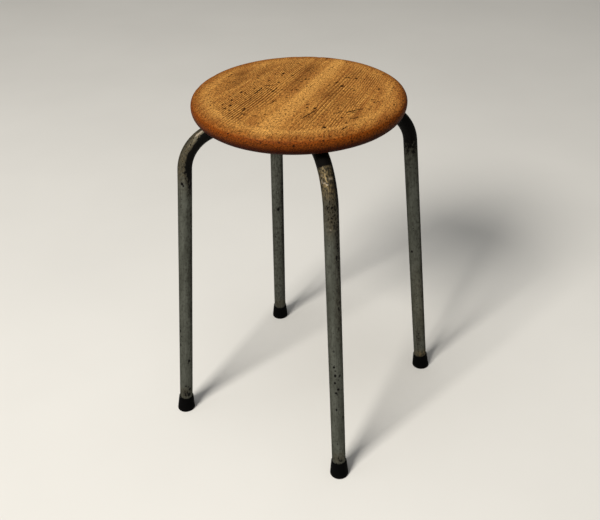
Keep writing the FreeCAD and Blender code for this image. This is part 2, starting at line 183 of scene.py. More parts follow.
class StageSettings(PropertyGroup):
    """Floor, camera and lights."""
    floor: colour_property("Floor", "Plain pale floor", "#D3D2CE")
    lens: FloatProperty(name="Lens", description="Focal length in millimetres", default=52.02)
    camera_place: FloatVectorProperty(
        name="Camera place", description="Where the camera stands", subtype="TRANSLATION", unit="LENGTH",
        default=(-0.24395, -1.05984, 0.96622),
    )
    yaw: FloatProperty(
        name="Yaw", description="Turn of the view from +Y towards +X", subtype="ANGLE",
        default=math.radians(12.7185),
    )
    pitch: FloatProperty(
        name="Pitch", description="How far the view looks down", subtype="ANGLE",
        default=math.radians(33.422),
    )
    roll: FloatProperty(
        name="Roll", description="Tilt of the picture", subtype="ANGLE", default=math.radians(-1.6693)
    )
    key_bearing: FloatProperty(
        name="Key bearing", description="Where the key light stands, from +X", subtype="ANGLE",
        default=math.radians(220),
    )
    key_height: FloatProperty(
        name="Key height", description="Height of the key light over the floor", subtype="ANGLE",
        default=math.radians(42),
    )


# Marks on the seat, in millimetres from its middle: the right leg is at +X and the back leg
# at +Y. Holes: x, y, width across the grain, length along it, depth
SEAT_HOLES = (
    (63, 8, 4.2, 6.2, 2.6),
    (-4, 76, 3.5, 5.3, 1.7),
    (-28, 56, 3.0, 4.3, 1.4),
    (-17, 46, 2.8, 4.1, 1.3),
    (-72, 27, 3.5, 4.1, 1.5),
    (-94, -13, 3.4, 3.8, 1.5),
    (-103, -21, 2.8, 3.6, 1.1),
    (-78, -28, 3.5, 3.8, 1.4),
    (-81, -33, 2.5, 4.1, 1.1),
    (-90, 4, 2.5, 3.8, 1.0),
    (-104, -8, 2.2, 3.1, 0.8),
    (-82, -45, 2.2, 3.6, 0.9),
    (-74, 94, 2.8, 3.6, 0.9),
    (-79, 87, 2.5, 3.6, 0.9),
    (-77, 65, 2.2, 3.1, 0.8),
    (-53, 34, 2.5, 3.6, 0.9),
    (-49, 54, 2.1, 3.1, 0.8),
    (-41, 68, 2.1, 3.4, 0.8),
    (-68, 23, 2.1, 2.9, 0.8),
    (-18, 20, 2.2, 3.4, 0.9),
    (-57, -54, 2.1, 3.1, 0.7),
    (-69, -54, 2.0, 2.9, 0.7),
    (-98, -48, 2.1, 2.9, 0.7),
    (9, -53, 3.4, 4.6, 1.5),
    (0, -48, 2.8, 4.3, 1.3),
    (2, -39, 2.2, 3.4, 1.0),
    (46, 15, 2.0, 2.9, 0.8),
    (59, 22, 3.0, 4.1, 1.2),
    (89, 28, 3.5, 4.8, 1.4),
    (107, -17, 3.0, 4.6, 1.2),
    (74, -11, 2.2, 4.1, 0.8),
    (87, -48, 2.2, 3.4, 0.8),
    (109, -73, 2.5, 3.1, 0.9),
    (39, -53, 2.1, 3.1, 0.7),
    (1, 13, 3.0, 3.8, 1.2),
    (-6, 14, 2.8, 3.4, 1.1),
    (17, 21, 2.6, 3.4, 1.0),
    (2, -20, 3.2, 3.6, 0.9),
    (8, 66, 3.5, 5.5, 0.8),
    (22, 46, 3.2, 3.4, 1.0),
    (-31, 18, 3.8, 3.8, 1.5),
    (-15, 78, 2.1, 3.1, 0.9),
    (34, -91, 2.5, 3.8, 1.0),
    (6, -97, 2.2, 3.1, 0.8),
    (6, -113, 3.0, 4.6, 1.1),
    (-38, 21, 2.2, 2.9, 0.9),
)

# Cracks, dents and scraped places: points along each in millimetres, then its width and depth
SEAT_STROKES = (
    (((-55, 18), (-51, 23), (-44, 31)), 1.9, 1.3),
    (((-14, -79), (-6, -71), (3, -65), (10, -58)), 1.6, 1.1),
    (((-38, 42), (-32, 38), (-25, 38)), 1.8, 0.8),
    (((-37, 29), (-31, 24)), 2.0, 0.9),
    (((-24, 27), (-26, 22)), 1.5, 0.7),
    (((-42, 36), (-47, 28), (-53, 24)), 1.3, 0.7),
    (((44, -78), (52, -76), (58, -74), (67, -73)), 2.2, 0.9),
    (((50, -81), (57, -79)), 1.6, 0.6),
    (((27, -77), (33, -76), (38, -73)), 1.5, 0.6),
    (((43, -96), (48, -98), (54, -96)), 1.9, 0.8),
    (((24, -126), (32, -119)), 1.8, 0.9),
    (((-41, -21), (-36, -14), (-33, -11)), 1.3, 0.7),
    (((-45, -24), (-39, -18)), 1.2, 0.6),
    (((74, 34), (80, 36), (82, 30)), 1.6, 0.7),
    (((69, -9), (74, -4)), 1.3, 0.6),
    (((2, -116), (7, -108)), 1.3, 0.6),
    (((-82, -33), (-77, -27)), 1.3, 0.6),
)

# Hole in the edge: bearing in degrees, height, reach and depth in mm
EDGE_HOLE = (-106, 507.5, 1.3, 1.2)

# Pale band with no rings to be seen: how far across the grain from the middle, and its reach in mm
PALE_BAND = (8, 12)

# Groups in which the year rings stand out: how far across the grain from the middle and reach in mm, strength
RING_GROUPS = (
    (-50, 27, 1.0),
    (-92, 18, 0.5),
    (48, 16, 0.6),
    (80, 17, 0.6),
)

# Pale scratches that have rubbed the wax off: points along each in millimetres, then its width
SEAT_RUBS = (
    (((-84, 34), (-62, 56), (-44, 76)), 2.2),
    (((-98, 30), (-80, 42)), 1.6),
    (((62, -62), (78, -44), (90, -30)), 1.8),
    (((42, -94), (62, -72)), 1.6),
    (((96, -52), (112, -34)), 1.8),
    (((50, 86), (70, 108)), 2.4),
)

# Darker smudges of handling: x, y, reach across the grain, reach along it, strength
SEAT_SMUDGES = (
    (35, 81, 11, 26, 0.9),
    (14, 50, 8, 24, 0.8),
    (39, -15, 12, 20, 0.8),
    (52, 8, 9, 22, 0.5),
    (-61, 92, 10, 13, 1.0),
    (2, 32, 9, 26, 0.6),
    (-75, 62, 13, 24, 0.6),
    (-30, 88, 7, 18, 0.6),
    (-62, -2, 16, 22, 0.5),
    (50, -42, 18, 30, 0.4),
    (90, 38, 14, 18, 0.4),
    (-88, -42, 10, 16, 0.5),
    (-6, -76, 9, 14, 0.5),
    (55, -95, 12, 20, 0.4),
)

# Marks on the tubes: height in mm, angle round the tube in degrees from its outward side,
# length, width and depth in mm, and darkness, which is below 0 for a mark drawn bright: rubbed chips and, on
# the left bend, one painted highlight. A positive angle turns towards the next leg in the order of LEGS.
TUBE_MARKS = {
    "left": (
        # Painted highlight: a bright streak along the top of the left bend, next to the seat
        (471, 33, 16.0, 3.0, 0.05, -0.8),
        (443, 88, 3.0, 2.4, 0.2, 0.9),
        (432, 60, 3.0, 2.2, 0.2, 0.8),
        (424, 70, 2.6, 2.2, 0.2, 0.8),
        (407, 58, 5.2, 4.6, 0.6, 1.0),
        (404, 70, 3.4, 3.0, 0.4, 1.0),
        (185, 21, 3.2, 2.4, 0.2, 0.9),
        (163, 24, 3.6, 2.4, 0.3, 0.9),
        (157, 26, 5.6, 3.4, 0.4, 1.0),
        (147, 38, 3.2, 2.4, 0.3, 0.9),
        (139, 27, 4.0, 2.0, 0.3, 0.8),
        (130, 27, 5.2, 3.8, 0.5, 1.0),
        (101, 111, 6.4, 4.2, 0.5, 1.0),
        (97, 102, 3.4, 2.4, 0.3, 0.9),
        (51, 79, 4.0, 3.0, 0.4, 1.0),
        (49, 103, 3.0, 2.4, 0.3, 0.9),
        (44, 118, 6.4, 4.2, 0.4, 1.0),
        (33, 108, 8.0, 6.4, 0.3, 1.0),
        (37, 60, 3.0, 2.4, 0.2, 0.8),
        (250, 80, 3.6, 1.8, 0.15, 0.6),
        (300, 40, 4.4, 1.6, 0.15, 0.5),
    ),
    "front": (
        (470, -8, 3.0, 2.6, 0.2, 0.9),
        (467, 14, 2.6, 3.6, 0.2, 0.9),
        (466, -34, 2.8, 2.2, 0.2, 0.9),
        (463, -52, 2.6, 3.4, 0.15, -0.3),
        (461, -12, 3.4, 2.4, 0.2, 0.9),
        (458, -60, 6.0, 2.4, 0.15, -0.5),
        (456, -44, 2.6, 6.0, 0.15, -0.5),
        (456, -56, 3.6, 3.4, 0.3, 1.0),
        (454, -24, 2.4, 5.0, 0.1, -0.4),
        (459, 12, 2.6, 7.0, 0.1, -0.4),
        (462, 32, 3.2, 2.6, 0.2, 0.9),
        (449, -30, 3.0, 2.6, 0.2, 0.8),
        (446, 2, 4.0, 2.8, 0.2, 0.8),
        (441, -52, 3.0, 2.4, 0.2, 0.7),
        (436, -20, 3.4, 2.4, 0.2, 0.8),
        (430, 14, 6.0, 2.6, 0.2, 0.9),
        (402, -22, 2.6, 2.4, 0.1, -0.4),
        (406, 6, 9.0, 3.2, 0.15, 0.8),
        (396, 12, 6.0, 2.4, 0.15, 0.7),
        (380, -36, 3.4, 2.2, 0.2, 0.7),
        (352, 12, 12.0, 2.2, 0.1, 0.6),
        (330, 16, 9.0, 2.0, 0.1, 0.6),
        (315, 13, 7.0, 2.4, 0.1, 0.7),
        (287, 24, 6.0, 3.2, 0.2, 0.8),
        (256, 20, 5.6, 2.6, 0.2, 0.8),
        (221, -30, 4.8, 3.4, 0.2, 0.8),
        (199, -48, 3.0, 2.2, 0.15, 0.7),
        (195, -29, 4.6, 3.8, 0.5, 1.0),
        (189, -22, 3.4, 2.8, 0.4, 1.0),
        (181, -22, 5.8, 4.2, 0.5, 1.0),
        (180, 15, 5.6, 4.4, 0.3, 0.9),
        (174, 2, 2.8, 2.2, 0.3, 0.8),
        (169, -26, 4.6, 3.8, 0.5, 1.0),
        (158, 0, 4.8, 4.4, 0.5, 1.0),
        (152, -20, 4.4, 5.0, 0.5, 1.0),
        (149, -6, 2.8, 2.6, 0.3, 0.8),
        (123, -20, 4.6, 3.6, 0.5, 1.0),
        (108, 36, 5.0, 3.0, 0.3, 0.8),
        (62, -20, 3.6, 2.4, 0.25, 0.8),
        (30, 6, 5.0, 5.6, 0.3, 0.9),
    ),
    "right": (
        (411, -86, 8.0, 4.4, 0.2, 0.8),
        (404, -92, 3.0, 2.0, 0.15, 0.6),
        (413, -134, 12.0, 4.0, 0.2, 0.7),
        (398, -120, 5.0, 2.0, 0.15, 0.5),
        (330, -70, 4.6, 2.0, 0.2, 0.7),
        (262, -95, 5.6, 2.0, 0.2, 0.6),
        (238, -140, 5.6, 4.0, 0.3, 1.0),
        (205, -60, 4.0, 2.0, 0.2, 0.6),
        (180, -42, 12.0, 2.2, 0.2, 0.8),
        (150, -68, 4.0, 2.4, 0.2, 0.7),
        (124, -86, 3.6, 2.4, 0.2, 0.7),
        (75, -112, 4.4, 3.0, 0.3, 0.9),
        (63, -52, 5.6, 3.0, 0.2, 0.9),
        (50, -90, 3.4, 2.2, 0.25, 0.7),
    ),
    "back": (
        (244, 175, 9.0, 4.8, 0.2, 1.0),
        (248, -172, 5.0, 3.0, 0.15, 0.8),
        (310, 175, 4.6, 2.0, 0.2, 0.6),
        (186, 141, 3.8, 3.4, 0.3, 1.0),
        (192, 152, 3.0, 2.0, 0.2, 0.7),
        (150, -175, 5.6, 2.2, 0.2, 0.6),
        (95, 165, 4.6, 2.2, 0.25, 0.7),
        (60, 150, 4.6, 2.2, 0.2, 0.7),
    ),
}

# Clouds of colour on the tubes: height in mm, angle in degrees, reach along and round in mm, straw tint,
# soot.
# The soot column also holds painted shade: narrow streaks down each tube's side away from the key light are
# painted shade, and the dark level ends under the seat are painted shadow of the seat, with some soot.
TUBE_TINTS = {
    "left": (
        (459, 50, 52, 60, 0.5, 0.33),
        (455, 138, 56, 12, 0.0, 1.0),
        # Painted shadow of the seat on the level end, with some soot
        (475, 96, 24, 9, 0.0, 1.0),
        (404, 126, 24, 6, 0.0, 0.5),
        # Painted shade down the tube's side away from the key light
        (290, 132, 170, 7, 0.0, 0.3),
        (36, 70, 10, 14, 0.2, 0.4),
    ),
    "front": (
        # Painted shadow of the seat on the level end, with some soot
        (475.5, 0, 13, 60, 0.0, 1.3),
        (458, -10, 26, 17, 1.0, 0.3),
        (428, -15, 34, 15, 0.4, 0.4),
        # Darker down the bend's side away from the key light: partly soot and partly painted shade
        (445, 70, 60, 10, 0.0, 0.6),
        # These two: painted shade down the tube's side away from the key light
        (380, 30, 60, 6, 0.1, 0.45),
        (290, 30, 60, 6, 0.1, 0.35),
        (35, 0, 10, 14, 0.2, 0.35),
    ),
    "right": (
        (460, -90, 59, 60, 0.1, 0.8),
        (130, -90, 80, 16, 0.15, 0.0),
        # Painted shade down the tube's side away from the key light
        (210, -36, 220, 6, 0.0, 0.4),
        (30, -95, 9, 14, 0.7, 0.0),
        (60, -125, 30, 5, 0.1, 0.4),
    ),
    "back": (
        (460, 180, 45, 60, 0.1, 0.7),
        # Painted shade down the tube's side away from the key light
        (230, -122, 220, 8, 0.0, 0.5),
        # Painted shade over the back tube's side that faces the stool's middle, under the seat
        (230, 180, 240, 40, 0.0, 0.22),
        (35, 170, 10, 14, 0.2, 0.3),
    ),
}


def noise_at(points, seed):
    """Smooth noise between about -1 and 1 at each row of points, with lumps about one unit wide."""
    shift = Vector((17.3, -9.1, 4.7)) * seed
    return np.array([noise.noise(Vector(point) + shift) for point in points])


def turned_from(turn, angles):
    """Angles in radians counted from a turn, each between -pi and pi."""
    return np.angle(np.exp(1j * (angles - turn)))


def smooth_step(low, high, values):
    """0 below low, 1 above high and a smooth rise between them."""
    share = np.clip((np.asarray(values, float) - low) / (high - low), 0, 1)
    return share * share * (3 - 2 * share)


def new_piece(name, verts, faces, replaced):
    """A smooth-shaded mesh object that rides with the stool and stands for its frame node."""
    mesh = bpy.data.meshes.new(name)
    mesh.from_pydata([tuple(vert) for vert in verts], [], faces)
    mesh.validate()
    mesh.shade_smooth()
    piece = bpy.data.objects.new(name, mesh)
    bpy.context.scene.collection.objects.link(piece)
    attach(piece, "root")
    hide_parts(replaced)
    return piece


def give_attribute(piece, name, values):
    """Store one number or one vector per vertex, for the materials to read."""
    values = np.asarray(values, float)
    kind, field = ("FLOAT_VECTOR", "vector") if values.ndim == 2 else ("FLOAT", "value")
    attribute = piece.data.attributes.new(name, kind, "POINT")
    attribute.data.foreach_set(field, values.ravel())


def face_outwards(piece):
    """Turn every face of a closed piece outwards."""
    shell = bmesh.new()
    shell.from_mesh(piece.data)
    bmesh.ops.recalc_face_normals(shell, faces=shell.faces)
    shell.to_mesh(piece.data)
    shell.free()


def ring_of_points(radius, count):
    """Evenly spaced points of a circle round the middle, as an array of x and y."""
    turn = np.arange(count) / count * 2 * math.pi
    return np.c_[radius * np.cos(turn), radius * np.sin(turn)]


def strip_faces(lower, upper):
    """Quads between two closed rings of point numbers."""
    return list(zip(lower, upper, np.roll(upper, -1), np.roll(lower, -1)))


def turned_faces(rows, around):
    """Faces of a turned piece, from the first point and the number of points of each row. A tip has one."""
    faces = []
    for (low, low_count), (high, high_count) in zip(rows, rows[1:]):
        for i in range(around):
            j = (i + 1) % around
            if low_count == 1:
                faces.append((low, high + i, high + j))
            elif high_count == 1:
                faces.append((low + i, high, low + j))
            else:
                faces.append((low + i, high + i, high + j, low + j))
    return faces


def screw_middles(settings):
    """Places of the screws' axes round the middle."""
    bearings = [math.radians(bearing) for bearing, _ in SCREWS]
    return [Vector((math.cos(b), math.sin(b), 0)) * settings.screw_circle for b in bearings]


def new_material(name):
    """An empty node material and its tree."""
    material = bpy.data.materials.new(name)
    material.use_nodes = True
    material.node_tree.nodes.clear()
    return material, material.node_tree


def add_node(tree, kind, inputs=None, stops=None, **settings):
    """Add one shader node. An input is a number, a colour, or the node or socket that feeds it."""
    node = tree.nodes.new("ShaderNode" + kind)
    for name, setting in settings.items():
        setattr(node, name, setting)
    if stops:
        ramp = node.color_ramp
        while len(ramp.elements) < len(stops):
            ramp.elements.new(1)
        for element, (position, colour) in zip(ramp.elements, stops):
            element.position = position
            element.color = colour if hasattr(colour, "__len__") else (colour, colour, colour, 1)
    for key, given in (inputs or {}).items():
        named = [socket for socket in node.inputs if socket.enabled and socket.name == key]
        socket = named[0] if named else node.inputs[key]
        if isinstance(given, bpy.types.Node):
            given = next(output for output in given.outputs if output.enabled)
        if isinstance(given, bpy.types.NodeSocket):
            tree.links.new(given, socket)
        else:
            socket.default_value = given
    return node


# Seat


def grain_places(x, y, settings):
    """Distances along and across the grain, whose lines run together towards one far point."""
    towards_x = settings.grain_fan * math.cos(settings.grain_angle) - x
    towards_y = settings.grain_fan * math.sin(settings.grain_angle) - y
    bearing = np.arctan2(towards_y, towards_x) - settings.grain_angle
    return settings.grain_fan - np.hypot(towards_x, towards_y), bearing * settings.grain_fan


def place_in_grain(along, across, settings):
    """The point of the board at those distances along and across the grain."""
    bearing = across / settings.grain_fan + settings.grain_angle
    reach = settings.grain_fan - along
    x = settings.grain_fan * math.cos(settings.grain_angle) - reach * np.cos(bearing)
    y = settings.grain_fan * math.sin(settings.grain_angle) - reach * np.sin(bearing)
    return x, y


def ring_distance(along, across, depth, settings):
    """Distance from the tree's middle, which wanders a little along the log. A ring keeps one distance."""
    place = np.c_[along, across, depth]
    wander = 3.0 * MM * noise_at(place / (0.11, 0.05, 0.05), 1)
    ripple = 0.5 * MM * noise_at(place / (0.035, 0.012, 0.012), 2)
    sideways = across - settings.pith_offset + wander + ripple
    return np.hypot(sideways, settings.pith_depth - depth)


def ring_lines(rings, settings):
    """0 on the hard wood, and 1 in the narrow line of soft wood that each ring starts with."""
    phase = np.mod(rings / settings.ring_spacing, 1)
    return np.exp(-((phase - 0.5) / 0.17) ** 2)


def ring_strength(along, across, settings):
    """How strongly the rings show: in groups across the board, and patchily along it."""
    shown = np.zeros(np.shape(across))
    for middle, reach, strong in RING_GROUPS:
        shown = np.maximum(shown, strong * np.exp(-((across - middle * MM) / (reach * MM)) ** 2))
    patches = noise_at(np.c_[along, across, 0 * across] / (0.06, 0.018, 1), 3)
    return np.clip(shown * (1.0 + 1.3 * patches), 0.08, 1)


def stroke_distance(x, y, points):
    """Distance of each point from a line of points, and how far along the line it is, from 0 to 1."""
    nearest = np.full(x.shape, 1.0)
    share = np.zeros(x.shape)
    spans = len(points) - 1
    for number in range(spans):
        (ax, ay), (bx, by) = [(px * MM, py * MM) for px, py in points[number:number + 2]]
        length = math.hypot(bx - ax, by - ay)
        part = np.clip(((x - ax) * (bx - ax) + (y - ay) * (by - ay)) / length ** 2, 0, 1)
        gap = np.hypot(x - ax - part * (bx - ax), y - ay - part * (by - ay))
        share = np.where(gap < nearest, (number + part) / spans, share)
        nearest = np.minimum(nearest, gap)
    return nearest, share


def off_mark(along, across, mark, settings):
    """How many half lengths and half widths each point is away from a mark that lies along the grain."""
    mark_x, mark_y, width, length = mark[:4]
    mark_along, mark_across = grain_places(mark_x * MM, mark_y * MM, settings)
    return np.hypot((along - mark_along) / (length * MM / 2), (across - mark_across) / (width * MM / 2))


def seat_mark_depth(x, y, settings):
    """Depth of the holes, cracks and dents at each point of the top face."""
    along, across = grain_places(x, y, settings)
    depth = np.zeros(x.shape)
    for hole in SEAT_HOLES:
        off = off_mark(along, across, hole, settings)
        depth = np.maximum(depth, hole[4] * MM * (1 - smooth_step(0.6, 1.2, off)))
    ragged = 1 + 0.45 * noise_at(np.c_[x, y, 0 * x] / (2.2 * MM), 4)
    for points, width, deep in SEAT_STROKES:
        gap, share = stroke_distance(x, y, points)
        taper = 0.35 + 0.65 * np.sin(np.pi * np.clip(share, 0.02, 0.98))
        filled = smooth_step(0.1, 0.75, gap / (width * MM * ragged))
        depth = np.maximum(depth, deep * MM * taper * (1 - filled))
    return depth


def mark_points(settings):
    """Points strewn closely round the holes and strokes, so that the mesh can follow them."""
    points = []
    for mark_x, mark_y, width, length, _ in SEAT_HOLES:
        mark_along, mark_across = grain_places(mark_x * MM, mark_y * MM, settings)
        for ring, count in ((0, 1), (0.3, 6), (0.48, 10), (0.8, 12), (1.0, 14), (1.25, 14)):
            for turn in np.arange(count) / count * 2 * math.pi + ring:
                points.append(place_in_grain(
                    mark_along + ring * length * MM / 2 * math.cos(turn),
                    mark_across + ring * width * MM / 2 * math.sin(turn), settings,
                ))
    for stroke, width, _ in SEAT_STROKES:
        for (ax, ay), (bx, by) in zip(stroke, stroke[1:]):
            length = math.hypot(bx - ax, by - ay)
            steps = max(2, round(length / 0.7))
            for step in range(steps):
                for row, side in enumerate((-1.0, -0.6, -0.3, 0, 0.3, 0.6, 1.0)):
                    part = (step + 0.5 * (row % 2)) / steps
                    aside = side * width / length
                    points.append((
                        (ax + part * (bx - ax) - aside * (by - ay)) * MM,
                        (ay + part * (by - ay) + aside * (bx - ax)) * MM,
                    ))
    return np.array(points)


def clear_of_marks(x, y, settings):
    """True for the points of the even lattice that no mark's own points replace."""
    clear = np.full(x.shape, True)
    along, across = grain_places(x, y, settings)
    for hole in SEAT_HOLES:
        clear &= off_mark(along, across, hole, settings) > 1.45
    for points, width, _ in SEAT_STROKES:
        clear &= stroke_distance(x, y, points)[0] > 1.15 * width * MM
    return clear


def fill_rings(rings, inner, squeeze=lambda points: points):
    """Triangles inside closed rings of points, using the loose inner points too.

    Returns all the points in order, ring by ring, and the triangles."""
    places = np.vstack(rings + [inner])
    edges = []
    first = 0
    for ring in rings:
        edges += [(first + i, first + (i + 1) % len(ring)) for i in range(len(ring))]
        first += len(ring)
    flat = [Vector(point) for point in squeeze(places)]
    made = geometry.delaunay_2d_cdt(flat, edges, [], 1, 1e-9)
    source = [originals[0] for originals in made[3]]
    return places, [[source[corner] for corner in face] for face in made[2]]


class BoardMesh:
    """Points and faces of the board, gathered part by part.

    The edge share of a point is 0 on the top face, rises down the rounded edge and is 1 on the underside."""

    def __init__(self):
        self.verts, self.edge_share, self.faces, self.count = [], [], [], 0

    def add(self, places, height, share):
        """Add points at one height and return their numbers."""
        numbers = self.count + np.arange(len(places))
        self.verts.append(np.c_[places, np.full(len(places), height)])
        self.edge_share.append(np.full(len(places), float(share)))
        self.count += len(places)
        return numbers


def build_seat(settings):
    """The board: worn top face, rounded edge, underside, recess for the plate and pilot holes."""
    board = BoardMesh()
    ring = add_top_face(board, settings)
    ring, under_radius = add_rounded_edge(board, ring, settings)
    recess_ring = add_underside(board, ring, under_radius, settings)
    add_recess(board, recess_ring, settings)
    shape_seat(np.vstack(board.verts), np.concatenate(board.edge_share), board.faces, settings)


def add_top_face(board, settings):
    """The flat top, fine enough for the grain and finer at the marks. Returns its outer ring."""
    flat_radius = SEAT_RADIUS - settings.top_round
    inner_radius = flat_radius - 0.7 * MM

    # A lattice that is long along the grain and fine across it, with every other row shifted
    long_step, fine_step = 3.0 * MM, 0.66 * MM
    rows = np.arange(-SEAT_RADIUS, SEAT_RADIUS, fine_step)
    columns = np.arange(-SEAT_RADIUS - 10 * MM, SEAT_RADIUS + 10 * MM, long_step)
    across, along = np.meshgrid(rows, columns, indexing="ij")
    along = along + (np.arange(len(rows)) % 2 * long_step / 2)[:, None]
    x, y = place_in_grain(along.ravel(), across.ravel(), settings)
    keep = (np.hypot(x, y) < inner_radius) & clear_of_marks(x, y, settings)
    strewn = mark_points(settings)
    inner = np.vstack((np.c_[x[keep], y[keep]], strewn[np.hypot(*strewn.T) < inner_radius]))

    def squeeze(points):
        length, width = grain_places(points[:, 0], points[:, 1], settings)
        return np.c_[width, length * fine_step / long_step]

    places, triangles = fill_rings([ring_of_points(flat_radius, SEAT_COUNT)], inner, squeeze)
    numbers = board.add(places, SEAT_HIGH.z, 0)
    board.faces += [tuple(triangle) for triangle in triangles]
    return numbers[:SEAT_COUNT]


def add_rounded_edge(board, ring, settings):
    """The edge, row by row from the top face to the underside. Returns its last row and that row's radius."""
    top, bottom = SEAT_HIGH.z, SEAT_LOW.z
    upper, lower = settings.top_round, settings.under_round
    rows = 15
    stations = []
    for lean in np.radians(np.linspace(90, 0, rows))[1:]:
        stations.append((SEAT_RADIUS - upper * (1 - math.cos(lean)), top - upper * (1 - math.sin(lean))))
    for lean in np.radians(np.linspace(0, 90, rows)):
        stations.append((SEAT_RADIUS - lower * (1 - math.cos(lean)), bottom + lower * (1 - math.sin(lean))))
    for radius, height in stations:
        row = board.add(ring_of_points(radius, SEAT_COUNT), height, (top - height) / (top - bottom))
        board.faces += strip_faces(ring, row)
        ring = row
    return ring, stations[-1][0]


RECESS_COUNT = 180  # points round the recess
HOLE_COUNT = 24  # points round a pilot hole


def add_underside(board, outer_ring, under_radius, settings):
    """The flat underside between the edge and the recess. Returns the recess's ring."""
    recess_radius = PLATE_HIGH.x + settings.recess_gap
    inner = np.vstack([
        ring_of_points(radius, max(RECESS_COUNT, round(radius / (4 * MM)) * 6))
        for radius in np.arange(recess_radius + 3 * MM, under_radius - 2 * MM, 4 * MM)
    ])
    places, triangles = fill_rings(
        [ring_of_points(under_radius, SEAT_COUNT), ring_of_points(recess_radius, RECESS_COUNT)], inner
    )
    numbers = np.r_[outer_ring, board.add(places[SEAT_COUNT:], SEAT_LOW.z, 1)]
    board.faces += [
        tuple(numbers[face[::-1]]) for face in triangles
        if np.hypot(*places[face].mean(axis=0)) > recess_radius * 0.9999
    ]
    return numbers[SEAT_COUNT:SEAT_COUNT + RECESS_COUNT]


def add_recess(board, recess_ring, settings):
    """The recess over the plate, with a pilot hole over each screw."""
    centres = [np.array(middle[:2]) for middle in screw_middles(bpy.context.scene.stool_ironwork)]
    hole_rings = [centre + ring_of_points(settings.pilot_radius, HOLE_COUNT) for centre in centres]
    recess_radius = PLATE_HIGH.x + settings.recess_gap
    strewn = np.vstack([ring_of_points(radius * MM, radius) for radius in (10, 22, 32, 52)])
    places, triangles = fill_rings([ring_of_points(recess_radius, RECESS_COUNT)] + hole_rings, strewn)
    numbers = board.add(places, PLATE_HIGH.z, 1)
    board.faces += strip_faces(recess_ring, numbers[:RECESS_COUNT])

    def in_hole(face):
        middle = places[face].mean(axis=0)
        return any(np.hypot(*(middle - centre)) < settings.pilot_radius * 0.98 for centre in centres)

    board.faces += [tuple(numbers[face[::-1]]) for face in triangles if not in_hole(face)]
    for number, ring in enumerate(hole_rings):
        first = RECESS_COUNT + number * HOLE_COUNT
        end = board.add(ring, PLATE_HIGH.z + settings.pilot_depth, 1)
        board.faces += strip_faces(numbers[first:first + HOLE_COUNT], end)
        board.faces.append(tuple(end))


def edge_nicks(bearing, height):
    """Depth of the nicks knocked into the board's edge."""
    draw = np.random.default_rng(7)
    nick_count = 70
    depth = np.zeros(len(height))
    for _ in range(nick_count):
        nick = draw.uniform(-math.pi, math.pi)
        nick_height = SEAT_HIGH.z - draw.uniform(0.5, 19) * MM
        reach, deep = draw.uniform(1.2, 3.6) * MM, draw.uniform(0.08, 0.4) * MM
        round_edge = turned_from(nick, bearing) * SEAT_RADIUS / draw.uniform(1.0, 2.2)
        off = np.hypot(round_edge, height - nick_height)
        depth = np.maximum(depth, deep * np.exp(-(off / reach) ** 2))
    return depth


